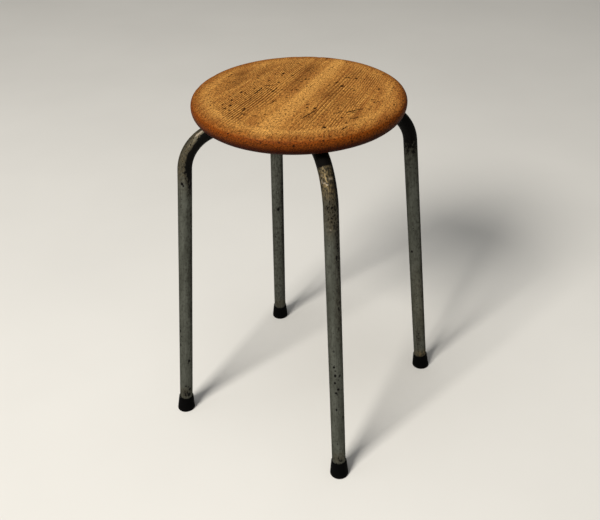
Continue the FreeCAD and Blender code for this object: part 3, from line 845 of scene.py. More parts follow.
def shape_seat(verts, edge_share, faces, settings):
    """Wear the plain board and give it the attributes that its material reads."""
    x, y, z = verts.T
    radius = np.hypot(x, y)
    bearing = np.arctan2(y, x)
    depth = SEAT_HIGH.z - z
    along, across = grain_places(x, y, settings)
    rings = ring_distance(along, across, depth, settings)
    on_top = edge_share < 1e-6
    marks = np.where(on_top, seat_mark_depth(x, y, settings), 0)

    # Rings and their relief fade out towards the rounded edge, where hands have rubbed it smooth
    fade = 1 - smooth_step(SEAT_RADIUS - 32 * MM, SEAT_RADIUS - 12 * MM, radius)
    strength = ring_strength(along, across, settings) * (0.15 + 0.85 * fade)
    relief = settings.ring_relief * ring_lines(rings, settings) * strength * fade
    lumps = 0.25 * MM * (noise_at(verts / 0.035, 5) + 1) / 2 * fade
    sunk = np.where(on_top, relief + lumps + marks, 0)

    # Edge: shallow flats, nicks and one hole, only ever cut into the board
    outward = np.c_[np.cos(bearing), np.sin(bearing), 0 * bearing]
    flat_radius = SEAT_RADIUS - settings.top_round
    on_edge = (edge_share > 0) & (edge_share < 0.999) | (on_top & (radius > flat_radius - 1e-6))
    flats = 0.45 * MM * (noise_at(np.c_[np.cos(bearing), np.sin(bearing), z / 0.05] * 3.2, 6) + 1) / 2
    hole_bearing, hole_height, hole_reach, hole_deep = EDGE_HOLE
    off = np.hypot(turned_from(math.radians(hole_bearing), bearing) * SEAT_RADIUS, z - hole_height * MM)
    hole_depth = hole_deep * MM * np.exp(-(off / (hole_reach * MM)) ** 4)
    cut = np.where(on_edge, flats + np.maximum(edge_nicks(bearing, z), hole_depth), 0)
    past_flat = radius - np.minimum(radius, flat_radius)
    inwards = np.c_[
        past_flat * outward[:, 0], past_flat * outward[:, 1], z - (SEAT_HIGH.z - settings.top_round)
    ]
    size = np.maximum(np.linalg.norm(inwards, axis=1), 1e-6)
    verts = verts - inwards / size[:, None] * cut[:, None]
    verts[:, 2] -= np.where(on_top & ~on_edge, sunk, 0)

    piece = new_piece("worn_seat_board", verts, faces, "seat")
    face_outwards(piece)
    piece.data.set_sharp_from_angle(angle=math.radians(50))

    # Pale band, a little wavy, with sharp sides
    band_middle, band_reach = PALE_BAND
    wander = 3 * noise_at(np.c_[along, 0 * along, 0 * along] / 0.07, 9)
    band = np.exp(-((across / MM - band_middle - wander) / band_reach) ** 4)

    # Scratches that taper to both ends
    rubs = np.zeros(len(verts))
    for points, width in SEAT_RUBS:
        gap, share = stroke_distance(x, y, points)
        taper = np.sin(np.pi * np.clip(share, 0.1, 0.9))
        rubs = np.maximum(rubs, np.exp(-(gap / (width * MM / 2)) ** 2) * taper)
    smudge = np.zeros(len(verts))
    for mark in SEAT_SMUDGES:
        off = off_mark(along, across, mark, settings) / 2
        smudge = np.maximum(smudge, mark[4] * np.exp(-off ** 2))

    # End grain, which drinks more oil, shows where the edge faces along the grain
    grain_way = np.array([math.cos(settings.grain_angle), math.sin(settings.grain_angle)])
    endways = (outward[:, :2] @ grain_way) ** 2 * smooth_step(0.02, 0.35, edge_share)
    darkening = 0.3 * smooth_step(SEAT_RADIUS - 18 * MM, SEAT_RADIUS - 8 * MM, radius)
    darkening = darkening + 0.7 * smooth_step(-0.1, 0.8, edge_share) * (edge_share > 0)

    # Pale ring 24 mm inside the rim, strongest at the front left, towards the key light: partly rubbed wax
    # and partly painted sheen
    front_left = 0.5 + 0.5 * np.cos(bearing - math.radians(-125))
    rubbed = 0.6 + 0.6 * noise_at(np.c_[np.cos(bearing), np.sin(bearing), radius / 0.05] * 4, 8)
    pale_ring = np.exp(-((radius - (SEAT_RADIUS - 24 * MM)) / (6 * MM)) ** 2)
    wear = pale_ring * (0.35 + 0.65 * front_left) * np.clip(rubbed, 0, 1) * on_top

    for name, values in (
        ("grain", np.c_[along, across, depth]),
        ("rings", rings),
        ("ring_strength", strength),
        ("marks", np.clip((marks + hole_depth * on_edge) / (0.4 * MM), 0, 1)),
        ("edge", darkening),
        ("depth", edge_share),
        ("endways", endways),
        ("wear", wear),
        ("band", band),
        ("rubs", rubs * on_top),
        ("smudge", smudge),
    ):
        give_attribute(piece, name, values)
    piece.data.materials.append(waxed_elm(settings))


def waxed_elm(settings):
    """Elm board, turned, sanded and waxed, then worn for years.

    The eye gets dark rings with rubbed ridges beside them, open pores everywhere, small holes and an
    edge that oil has darkened, nearly black low down, where the darkness is partly oil and partly painted
    shade."""
    material, tree = new_material("waxed_elm_worn")
    grain = add_node(tree, "Attribute", attribute_name="grain").outputs["Vector"]
    read = {
        name: add_node(tree, "Attribute", attribute_name=name).outputs["Fac"]
        for name in (
            "rings", "ring_strength", "marks", "edge", "depth", "endways", "wear", "smudge", "band", "rubs",
        )
    }

    # Year rings: a rubbed ridge and then a dark line in each ring_spacing, as in the mesh
    turns = add_node(tree, "Math", {0: read["rings"], 1: 1 / settings.ring_spacing}, operation="MULTIPLY")
    phase = add_node(tree, "Math", {0: turns}, operation="FRACT")
    line = add_node(tree, "ValToRGB", {"Fac": phase}, stops=[
        (0.28, 0.0), (0.42, 1.0), (0.58, 1.0), (0.72, 0.0),
    ])
    ridge = add_node(tree, "ValToRGB", {"Fac": phase}, stops=[
        (0.72, 0.0), (0.82, 1.0), (0.94, 1.0), (1.0, 0.3),
    ])
    line = add_node(tree, "Math", {0: line, 1: read["ring_strength"]}, operation="MULTIPLY")
    ridge = add_node(tree, "Math", {0: ridge, 1: read["ring_strength"]}, operation="MULTIPLY")

    # Cells along, across and through the grain in mm. Real pores are 0.2 mm wide and real flecks 0.5 mm:
    # they are drawn five and three times coarser, so that they show
    noises = {}
    for name, cell, detail in (
        ("streak", (90, 6, 9), 3.0),
        ("patch", (50, 24, 24), 4.0),
        ("pore", (6.5, 1.1, 1.1), 1.0),
        ("fleck", (3.4, 1.6, 1.6), 1.0),
    ):
        place = add_node(tree, "Mapping", {"Vector": grain, "Scale": [1 / (size * MM) for size in cell]})
        noises[name] = add_node(tree, "TexNoise", {"Vector": place, "Scale": 1.0, "Detail": detail})
    streaks = add_node(tree, "ValToRGB", {"Fac": noises["streak"]}, stops=[(0.40, 0.0), (0.66, 1.0)])
    patches = add_node(tree, "ValToRGB", {"Fac": noises["patch"]}, stops=[(0.44, 0.0), (0.68, 1.0)])
    pores = add_node(tree, "ValToRGB", {"Fac": noises["pore"]}, stops=[(0.54, 0.0), (0.68, 1.0)])
    tone = add_node(tree, "ValToRGB", {"Fac": noises["fleck"]}, stops=[
        (0.32, 1.0), (0.50, 0.70), (0.67, 0.34),
    ])

    # Worm holes and fly spots, some 2 mm wide, in about two in five of the cells of 9 by 7 mm
    spot_size = [1 / (size * MM) for size in (9, 7, 7)]
    spot_place = add_node(tree, "Mapping", {"Vector": grain, "Scale": spot_size})
    spot_cells = add_node(tree, "TexVoronoi", {"Vector": spot_place, "Scale": 1.0})
    spot_near = add_node(tree, "ValToRGB", {"Fac": spot_cells.outputs["Distance"]}, stops=[
        (0.12, 1.0), (0.22, 0.0),
    ])
    spot_some = add_node(tree, "Math", {0: spot_cells.outputs["Color"], 1: 0.58}, operation="GREATER_THAN")
    spots = add_node(tree, "Math", {0: spot_near, 1: spot_some}, operation="MULTIPLY")

    # Edge: oiled from 18 mm inside the rim, nearly black low down on the round, partly soaked oil and partly
    # painted shade where the edge turns under, and paler again under the board
    oiled = add_node(tree, "ValToRGB", {"Fac": read["edge"]}, stops=[
        (0.0, 0.0), (0.29, 0.4), (0.42, 1.0), (1.0, 0.95),
    ])
    soaked_and_shaded = add_node(tree, "ValToRGB", {"Fac": read["depth"]}, stops=[
        (0.22, 0.0), (0.40, 0.3), (0.55, 0.75), (0.70, 1.0), (0.94, 0.9), (1.0, 0.3),
    ])

    wood = settings.pale_wood
    for amount, share, colour in (
        (streaks, 0.6, settings.brown_wood),
        (patches, 0.5, settings.brown_wood),
        (read["band"], 0.6, settings.worn_wood_and_sheen),
        (ridge, 0.9, settings.worn_wood_and_sheen),
        (line, 0.95, settings.dark_wood),
        (read["smudge"], 0.6, settings.dark_wood),
        # Pale ring inside the rim: partly rubbed wax and partly painted sheen
        (read["wear"], 0.55, settings.worn_wood_and_sheen),
        (read["rubs"], 0.7, settings.worn_wood_and_sheen),
        (oiled, 1.0, settings.edge_wood),
        (read["endways"], 0.25, settings.soaked_wood_and_shade),
        # Partly painted shade: the lower half of the round edge turns nearly black where it faces down
        (soaked_and_shaded, 0.95, settings.soaked_wood_and_shade),
    ):
        part = add_node(tree, "Math", {0: amount, 1: share}, operation="MULTIPLY")
        wood = add_node(tree, "Mix", {"Factor": part, "A": wood, "B": colour}, data_type="RGBA")
    light = add_node(tree, "Math", {0: tone, 1: 1.52}, operation="MULTIPLY")
    wood = add_node(tree, "Mix", {
        "Factor": 1.0, "A": wood, "B": light,
    }, data_type="RGBA", blend_type="MULTIPLY")
    for amount, share in ((pores, 0.65), (spots, 0.9), (read["marks"], 1.0)):
        part = add_node(tree, "Math", {0: amount, 1: share}, operation="MULTIPLY")
        wood = add_node(tree, "Mix", {"Factor": part, "A": wood, "B": settings.grime}, data_type="RGBA")

    height = add_node(tree, "Math", {0: pores, 1: -0.6}, operation="MULTIPLY")
    height = add_node(tree, "Math", {0: spots, 1: -1.0, 2: height}, operation="MULTIPLY_ADD")
    bump = add_node(tree, "Bump", {"Strength": 0.6, "Distance": 0.3 * MM, "Height": height})
    roughness = add_node(tree, "Math", {0: noises["streak"], 1: 0.3, 2: 0.42}, operation="MULTIPLY_ADD")
    shader = add_node(tree, "BsdfPrincipled", {
        "Base Color": wood, "Roughness": roughness, "IOR": 1.5, "Specular IOR Level": 0.03, "Normal": bump,
    })
    add_node(tree, "OutputMaterial", {"Surface": shader})
    return material


# Leg tubes


class TubePath:
    """Axis of a leg tube in its own upright plane: level, then the bend, then the slope to the foot."""

    def __init__(self, settings):
        self.splay = settings.splay
        self.bend = settings.bend_radius
        self.bend_height = LEVEL_HEIGHT - self.bend
        self.bend_reach = (
            FOOT_CIRCLE_RADIUS - self.bend_height * math.tan(self.splay) - self.bend / math.cos(self.splay)
        )
        self.level_length = self.bend_reach - TUBE_START
        self.turn_length = self.bend * (math.pi / 2 - self.splay)
        end_height = TUBE_LOW.z + TUBE_RADIUS * math.sin(self.splay)
        bend_end_height = self.bend_height + self.bend * math.sin(self.splay)
        self.slope_length = (bend_end_height - end_height) / math.cos(self.splay)
        self.length = self.level_length + self.turn_length + self.slope_length

    def station(self, distance):
        """Reach from the middle, height and downward turn of the axis at a distance along the tube."""
        if distance <= self.level_length:
            return TUBE_START + distance, LEVEL_HEIGHT, 0.0
        turned = min((distance - self.level_length) / self.bend, math.pi / 2 - self.splay)
        reach = self.bend_reach + self.bend * math.sin(turned)
        height = self.bend_height + self.bend * math.cos(turned)
        below = max(0.0, distance - self.level_length - self.turn_length)
        return reach + below * math.sin(self.splay), height - below * math.cos(self.splay), turned

    def distance_at_height(self, height):
        """Distance along the tube of the place where its axis is at that height, below the level part."""
        low, high = self.level_length, self.length
        for _ in range(40):
            middle = (low + high) / 2
            low, high = (middle, high) if self.station(middle)[1] > height else (low, middle)
        return (low + high) / 2


def tube_skin(path, marks):
    """Points and faces of a tube's skin, as a sheet of distance along and angle round, finer at the marks."""
    angles = list(np.arange(TUBE_COUNT) / TUBE_COUNT * 2 * math.pi - math.pi) + [math.pi]
    steps = np.linspace(0, path.length, round(path.length / (2.4 * MM)))
    sheet = bmesh.new()
    grid = [[sheet.verts.new((step, angle, 0)) for angle in angles] for step in steps]
    for lower, upper in zip(grid, grid[1:]):
        for i in range(TUBE_COUNT):
            sheet.faces.new((lower[i], lower[i + 1], upper[i + 1], upper[i]))
    fine = set()
    for face in sheet.faces:
        centre = face.calc_center_median()
        for distance, angle, length, width, _, _ in marks:
            aside = math.remainder(centre.y - angle, 2 * math.pi) * TUBE_RADIUS
            reach_along, reach_round = length / 2 + 2 * MM, width / 2 + 1.2 * MM
            if math.hypot((centre.x - distance) / reach_along, aside / reach_round) < 1.15:
                fine.update(edge for edge in face.edges if not edge.is_boundary)
    bmesh.ops.subdivide_edges(sheet, edges=list(fine), cuts=2, use_grid_fill=True)
    bmesh.ops.triangulate(sheet, faces=[face for face in sheet.faces if len(face.verts) > 4])
    sheet.verts.index_update()
    skin = np.array([vert.co[:2] for vert in sheet.verts])
    faces = [tuple(vert.index for vert in face.verts) for face in sheet.faces]
    sheet.free()
    return skin, faces


def tube_wear(side, path, skin, marks):
    """Depth of the pits, and how dark, bright, sooty and straw-tinted each point of the skin is. The
    darkening also paints shade down the tube's side and shadow under the seat, and one bright mark is a
    painted highlight.
    """
    distance, angle = skin.T
    pit, dark, bright, soot, straw = np.zeros((5, len(skin)))
    turned_noise = np.c_[np.cos(angle) * 2.5, np.sin(angle) * 2.5, distance / (4 * MM)]
    ragged = 1 + 0.35 * noise_at(turned_noise, 11)
    for place, turn, length, width, deep, strong in marks:
        aside = turned_from(turn, angle) * TUBE_RADIUS
        off = np.hypot((distance - place) / (length / 2), aside / (width / 2)) / ragged
        pit = np.maximum(pit, deep * (1 - smooth_step(0.3, 1.1, off)))
        amount = abs(strong) * (1 - smooth_step(0.7, 1.1, off))
        if strong > 0:
            dark = np.maximum(dark, amount)
        else:
            bright = np.maximum(bright, amount)
    for height, turn, length, width, tinted, black in TUBE_TINTS[side]:
        along = distance - path.distance_at_height(height * MM)
        aside = turned_from(math.radians(turn), angle) * TUBE_RADIUS
        cloud = np.exp(-np.hypot(along / (length * MM), aside / (width * MM)) ** 3)
        straw = np.maximum(straw, tinted * cloud)
        soot = np.maximum(soot, black * cloud)

    # Grime gathers just above the feet. Under the seat the same darkening is painted shadow of the seat, with
    # some soot
    near_foot = smooth_step(path.length - 30 * MM, path.length - 12 * MM, distance)
    from_seat = smooth_step(path.level_length * 0.8, path.level_length + 30 * MM, distance)
    soot = np.maximum(soot, np.maximum(0.45 * near_foot, 0.5 * (1 - from_seat)))
    return pit, dark, bright, soot, straw


def tube_point(path, step, turn, radius):
    """Point at a distance along the tube, a turn from its outward side and a radius from its axis."""
    reach, height, lean = path.station(step)
    up_out = Vector((math.sin(lean), 0, math.cos(lean)))
    offset = up_out * math.cos(turn) * radius + Vector((0, 1, 0)) * math.sin(turn) * radius
    return Vector((reach, 0, height)) + offset


def build_leg_tube(side, path, settings, material):
    """One bent tube with its bore, slight flattening in the bend, pits and patina, and painted shade and
    shadow.
    """
    marks = [
        (path.distance_at_height(height * MM), math.radians(angle), length * MM, width * MM, deep * MM, dark)
        for height, angle, length, width, deep, dark in TUBE_MARKS[side]
    ]
    skin, faces = tube_skin(path, marks)
    distance, angle = skin.T
    pit, dark, bright, soot, straw = tube_wear(side, path, skin, marks)

    # Outside: drawn a little uneven, and flattened along the outward side of the bend
    unevenness, flattening = 0.06 * MM, 0.35 * MM
    leans = np.array([path.station(step)[2] for step in distance])
    in_bend = np.sin(np.clip(leans / (math.pi / 2 - path.splay), 0, 1) * math.pi)
    uneven = unevenness * noise_at(np.c_[np.cos(angle), np.sin(angle), distance / (25 * MM)], 12)
    flatten = flattening * in_bend * np.maximum(0, np.cos(angle)) ** 2
    radius = TUBE_RADIUS - unevenness + uneven - pit - flatten
    verts = [tube_point(path, step, turn, off) for step, turn, off in zip(distance, angle, radius)]

    # Bore and cut ends
    first = len(verts)
    bore_angles = np.arange(TUBE_COUNT) / TUBE_COUNT * 2 * math.pi - math.pi
    bore_steps = [0.0, path.level_length * 0.5]
    bore_steps += list(np.linspace(path.level_length, path.level_length + path.turn_length, 20))
    bore_steps += [path.length - path.slope_length * share for share in (0.66, 0.33, 0.0)]
    for step in bore_steps:
        verts += [tube_point(path, step, turn, TUBE_RADIUS - settings.wall) for turn in bore_angles]
    bore_count = len(verts) - first
    rings = first + np.arange(bore_count).reshape(-1, TUBE_COUNT)
    for lower, upper in zip(rings, rings[1:]):
        faces += strip_faces(lower, upper)
    start = sorted(np.flatnonzero(distance < 1e-6), key=lambda i: angle[i])
    finish = sorted(np.flatnonzero(distance > path.length - 1e-6), key=lambda i: angle[i])
    for i in range(TUBE_COUNT):
        j = (i + 1) % TUBE_COUNT
        faces.append((start[i], start[i + 1], rings[0][j], rings[0][i]))
        faces.append((finish[i + 1], finish[i], rings[-1][i], rings[-1][j]))

    turn_to_leg = Matrix.Rotation(math.radians(LEGS[side]), 4, "Z")
    placed = [turn_to_leg @ vert for vert in verts]
    piece = new_piece("bent_tube_" + side, placed, faces, "leg_tube_" + side)

    # Each tube reads its own stretch of the patterns. The bore is plain and sooty
    shift = 0.7 * (list(LEGS).index(side) + 1)
    bore = np.zeros(bore_count)
    give_attribute(piece, "skin", np.vstack((
        np.c_[TUBE_RADIUS * np.cos(angle), TUBE_RADIUS * np.sin(angle), distance + shift],
        np.c_[bore, bore, np.arange(bore_count) * MM + shift],
    )))
    give_attribute(piece, "pits", np.concatenate((dark, bore)))
    # Bright marks: rubbed chips, and one painted highlight on the left bend
    give_attribute(piece, "chips", np.concatenate((bright, bore)))
    give_attribute(piece, "soot", np.concatenate((soot, bore + 1)))
    give_attribute(piece, "straw", np.concatenate((straw, bore)))
    weld_seam(piece)
    piece.data.set_sharp_from_angle(angle=math.radians(50))
    piece.data.materials.append(material)


def weld_seam(piece):
    """Join the two edges of the rolled-up skin and turn the faces outwards."""
    shell = bmesh.new()
    shell.from_mesh(piece.data)
    bmesh.ops.remove_doubles(shell, verts=shell.verts, dist=0.01 * MM)
    bmesh.ops.recalc_face_normals(shell, faces=shell.faces)
    shell.to_mesh(piece.data)
    shell.free()


def drawn_steel_tube(settings):
    """Welded and drawn steel tube, once bright and now dull, with baked oil, soot, tarnish and rust pits.

    The eye gets a soft grey-green sheen broken by fine drawn lines, speckled brown and black bends and
    black pits, with painted shade down each tube's side away from the key light and painted shadow under the
    seat."""
    material, tree = new_material("drawn_steel_dulled")
    skin = add_node(tree, "Attribute", attribute_name="skin").outputs["Vector"]
    read = {
        name: add_node(tree, "Attribute", attribute_name=name).outputs["Fac"]
        for name in ("pits", "chips", "soot", "straw")
    }

    # Cells round and along the tube in mm. Real drawn lines are 0.1 mm wide and real speckle 0.5 mm:
    # both are drawn coarser, so that they show
    noises = {}
    for name, cell, detail in (
        ("cloud", (12, 12, 40), 4.0),
        ("mottle", (3, 3, 5), 3.0),
        ("speckle", (2.2, 2.2, 3.2), 1.5),
        ("drawn", (0.9, 0.9, 60), 2.0),
    ):
        place = add_node(tree, "Mapping", {"Vector": skin, "Scale": [1 / (size * MM) for size in cell]})
        noises[name] = add_node(tree, "TexNoise", {"Vector": place, "Scale": 1.0, "Detail": detail})

    # Rust specks about 1.5 mm wide, in a quarter of the cells of 4.2 mm
    speck_cells = add_node(tree, "TexVoronoi", {"Vector": skin, "Scale": 1 / (4.2 * MM)})
    speck_near = add_node(tree, "ValToRGB", {"Fac": speck_cells.outputs["Distance"]}, stops=[
        (0.12, 1.0), (0.24, 0.0),
    ])
    speck_some = add_node(tree, "Math", {0: speck_cells.outputs["Color"], 1: 0.74}, operation="GREATER_THAN")
    specks = add_node(tree, "Math", {0: speck_near, 1: speck_some}, operation="MULTIPLY")

    # Straw tarnish in speckles with brown between them, baked oil in a mottled skin, black soot over it. The
    # soot attribute also holds painted shade and shadow, so the brown and the black flecks paint them too
    bright_speckle = add_node(tree, "ValToRGB", {"Fac": noises["speckle"]}, stops=[(0.40, 0.35), (0.56, 1.0)])
    brown_speckle = add_node(tree, "ValToRGB", {"Fac": noises["speckle"]}, stops=[(0.42, 1.0), (0.56, 0.0)])
    straw = add_node(tree, "Math", {0: read["straw"], 1: bright_speckle}, operation="MULTIPLY")
    straw_gaps = add_node(tree, "Math", {0: read["straw"], 1: brown_speckle}, operation="MULTIPLY")
    baked_and_shade_level = add_node(tree, "Math", {
        0: noises["mottle"], 1: 0.7, 2: read["soot"],
    }, operation="MULTIPLY_ADD")
    baked_oil_and_shade = add_node(tree, "ValToRGB", {"Fac": baked_and_shade_level}, stops=[(0.45, 0.0), (1.0, 0.9)])
    soot_and_shade_level = add_node(tree, "Math", {0: noises["speckle"], 1: read["soot"]}, operation="ADD")
    soot_and_shade_flecks = add_node(tree, "ValToRGB", {"Fac": soot_and_shade_level}, stops=[(0.92, 0.0), (1.34, 1.0)])
    # Black flecks: soot and pits, and on the level ends under the seat painted shadow
    grime = add_node(tree, "Math", {0: soot_and_shade_flecks, 1: specks}, operation="MAXIMUM")
    grime = add_node(tree, "Math", {0: grime, 1: read["pits"]}, operation="MAXIMUM")

    steel = settings.steel
    for amount, stops, colour in (
        (noises["cloud"], [(0.35, 0.0), (0.70, 0.55)], settings.dark_steel),
        (noises["mottle"], [(0.48, 0.0), (0.70, 0.55)], settings.dark_steel),
        (noises["drawn"], [(0.45, 0.0), (0.72, 0.5)], settings.dark_steel),
        (straw, [(0.0, 0.0), (1.0, 1.0)], settings.tarnish),
        (straw_gaps, [(0.0, 0.0), (1.0, 0.8)], settings.burnt_oil_and_shade),
        (baked_oil_and_shade, [(0.0, 0.0), (1.0, 1.0)], settings.burnt_oil_and_shade),
        (grime, [(0.0, 0.0), (1.0, 1.0)], settings.grime),
        (read["chips"], [(0.0, 0.0), (1.0, 1.0)], settings.bare_steel_and_highlight),
    ):
        part = add_node(tree, "ValToRGB", {"Fac": amount}, stops=stops)
        steel = add_node(tree, "Mix", {"Factor": part, "A": steel, "B": colour}, data_type="RGBA")

    metallic = add_node(tree, "Math", {0: baked_oil_and_shade, 1: -0.35, 2: 0.75}, operation="MULTIPLY_ADD")
    metallic = add_node(tree, "Math", {0: metallic, 1: grime}, operation="SUBTRACT", use_clamp=True)
    roughness = add_node(tree, "Math", {0: noises["mottle"], 1: 0.3, 2: 0.42}, operation="MULTIPLY_ADD")
    roughness = add_node(tree, "Math", {0: grime, 1: 0.2, 2: roughness}, operation="MULTIPLY_ADD")
    height = add_node(tree, "Math", {0: specks, 1: -0.7, 2: noises["mottle"]}, operation="MULTIPLY_ADD")
    height = add_node(tree, "Math", {
        0: noises["speckle"], 1: read["soot"], 2: height,
    }, operation="MULTIPLY_ADD")
    bump = add_node(tree, "Bump", {"Strength": 0.35, "Distance": 0.15 * MM, "Height": height})
    shader = add_node(tree, "BsdfPrincipled", {
        "Base Color": steel, "Metallic": metallic, "Roughness": roughness, "Normal": bump,
        "Specular IOR Level": 0.2, "Specular Tint": (0.25, 0.25, 0.24, 1.0),
    })
    add_node(tree, "OutputMaterial", {"Surface": shader})
    return material


# Rubber feet and washers


def foot_outline(settings):
    """Radius and height from the middle of the sole, up the outside, down the bore and to its middle."""
    height, sole = settings.height, settings.sole
    base, rim, bore = settings.base_radius, settings.rim_radius, TUBE_RADIUS + 0.05 * MM
    soft, lip = settings.edge_round, 0.35 * MM

    # Sole: a shallow dish in the middle and one tread groove, in mm
    outline = [(radius * MM, rise * MM) for radius, rise in (
        (0, 0.25), (3, 0.25), (3.4, 0), (6, 0), (6.5, 0.5), (7.3, 0.5), (7.8, 0), (9.4, 0),
    )]
    outline.append((base - soft * 1.05, 0.0))
    for turn in range(15, 91, 15):
        lean = math.radians(turn)
        outline.append((base - soft * 1.05 + soft * math.sin(lean), soft * (1 - math.cos(lean))))
    for share in (0.2, 0.4, 0.6, 0.8, 0.94):
        outline.append((base + (rim - base) * share, height * share + soft * (1 - share)))
    outline += [(rim, height - lip), (rim - 0.3 * lip, height - 0.3 * lip), (rim - lip, height)]
    outline += [(bore + 0.15 * MM, height), (bore, height - 0.2 * MM), (bore, (height + sole) / 2)]
    return outline + [(bore, sole), (bore * 0.5, sole), (0.0, sole)]


def build_rubber_foot(side, settings, splay, material):
    """One moulded cup on the tube's end, with a level sole and a thin upper rim."""
    axis = Vector((-math.sin(splay), 0, math.cos(splay)))
    outward = Vector((math.cos(splay), 0, math.sin(splay)))
    sideways = Vector((0, 1, 0))
    verts, rows, places = [], [], []
    for radius, rise in foot_outline(settings):
        # Level with the floor at the sole, and square to the tube at the rim
        level_share = 1 - float(smooth_step(0, settings.height * 0.9, rise))
        count = 1 if radius == 0 else FOOT_COUNT
        rows.append((len(verts), count))
        for i in range(count):
            turn = 2 * math.pi * i / FOOT_COUNT
            across = outward * math.cos(turn) + sideways * math.sin(turn)
            level_rise = (rise - across.z * radius) / axis.z
            verts.append(axis * (level_rise * level_share + rise * (1 - level_share)) + across * radius)
            places.append((radius * math.cos(turn), radius * math.sin(turn), rise))

    # Dents from use on the outside, only ever pushed in
    number = list(LEGS).index(side)
    rub = noise_at(np.array(places) / (5 * MM), 21 + number)
    ground = Vector((FOOT_CIRCLE_RADIUS, 0, 0))
    turn_to_leg = Matrix.Rotation(math.radians(LEGS[side]), 4, "Z")
    placed = []
    for vert, (px, py, rise), rubbed in zip(verts, places, rub):
        outside = rise > 0.6 * MM and math.hypot(px, py) > TUBE_RADIUS + MM
        dent = 0.12 * MM * (rubbed + 1) / 2 if outside else 0
        inward = Vector((px, py, 0)).normalized() * dent
        placed.append(turn_to_leg @ (ground + vert - (outward * inward.x + sideways * inward.y)))
    faces = turned_faces(rows, FOOT_COUNT)
    piece = new_piece("moulded_foot_" + side, placed, faces, "rubber_foot_" + side)
    face_outwards(piece)
    piece.data.set_sharp_from_angle(angle=math.radians(60))
    give_attribute(piece, "cup", np.array(places) + (0, 0, 0.1 * number))
    give_attribute(piece, "rise", np.array(places)[:, 2] / settings.height)
    piece.data.materials.append(material)


def moulded_rubber(settings):
    """Black natural rubber, moulded and long used: matt, with floor dust towards the sole."""
    material, tree = new_material("moulded_rubber_dusty")
    cup = add_node(tree, "Attribute", attribute_name="cup").outputs["Vector"]
    rise = add_node(tree, "Attribute", attribute_name="rise").outputs["Fac"]
    # Dust lies in blotches of 6 mm, and the moulded grain of 0.2 mm is drawn 0.7 mm coarse, so that it shows
    blotch = add_node(tree, "TexNoise", {"Vector": cup, "Scale": 1 / (6 * MM), "Detail": 5.0})
    grit = add_node(tree, "TexNoise", {"Vector": cup, "Scale": 1 / (0.7 * MM), "Detail": 3.0})
    low = add_node(tree, "ValToRGB", {"Fac": rise}, stops=[(0.0, 0.35), (0.3, 0.08), (1.0, 0.03)])
    dusty = add_node(tree, "ValToRGB", {"Fac": blotch}, stops=[(0.4, 0.0), (0.7, 1.0)])
    dust = add_node(tree, "Math", {0: low, 1: dusty}, operation="MULTIPLY")
    colour = add_node(tree, "Mix", {
        "Factor": dust, "A": settings.rubber, "B": settings.dust,
    }, data_type="RGBA")
    roughness = add_node(tree, "Math", {0: dusty, 1: 0.15, 2: 0.7}, operation="MULTIPLY_ADD")
    bump = add_node(tree, "Bump", {"Strength": 0.4, "Distance": 0.12 * MM, "Height": grit})
    shader = add_node(tree, "BsdfPrincipled", {
        "Base Color": colour, "Roughness": roughness, "IOR": 1.52, "Specular IOR Level": 0.02, "Normal": bump,
    })
    add_node(tree, "OutputMaterial", {"Surface": shader})
    return material


def zinc_steel(settings, name):
    """Zinc-plated steel, aged: soft grey with pale bloom and brown in the low places."""
    material, tree = new_material(name)
    place = add_node(tree, "TexCoord").outputs["Object"]
    # Bloom lies in patches of 4 mm. The plating's grain of 0.1 mm is drawn 0.8 mm coarse, so that it shows
    bloom = add_node(tree, "TexNoise", {"Vector": place, "Scale": 1 / (4 * MM), "Detail": 4.0})
    fine = add_node(tree, "TexNoise", {"Vector": place, "Scale": 1 / (0.8 * MM), "Detail": 2.0})
    amount = add_node(tree, "ValToRGB", {"Fac": bloom}, stops=[(0.45, 0.0), (0.75, 0.8)])
    colour = add_node(tree, "Mix", {
        "Factor": amount, "A": settings.zinc, "B": settings.rust,
    }, data_type="RGBA")
    metallic = add_node(tree, "Math", {0: 0.95, 1: amount}, operation="SUBTRACT", use_clamp=True)
    roughness = add_node(tree, "Math", {0: bloom, 1: 0.4, 2: 0.22}, operation="MULTIPLY_ADD")
    bump = add_node(tree, "Bump", {"Strength": 0.3, "Distance": 0.1 * MM, "Height": fine})
    shader = add_node(tree, "BsdfPrincipled", {
        "Base Color": colour, "Metallic": metallic, "Roughness": roughness, "Normal": bump,
    })
    add_node(tree, "OutputMaterial", {"Surface": shader})
    return material


# Plate, welds and screws


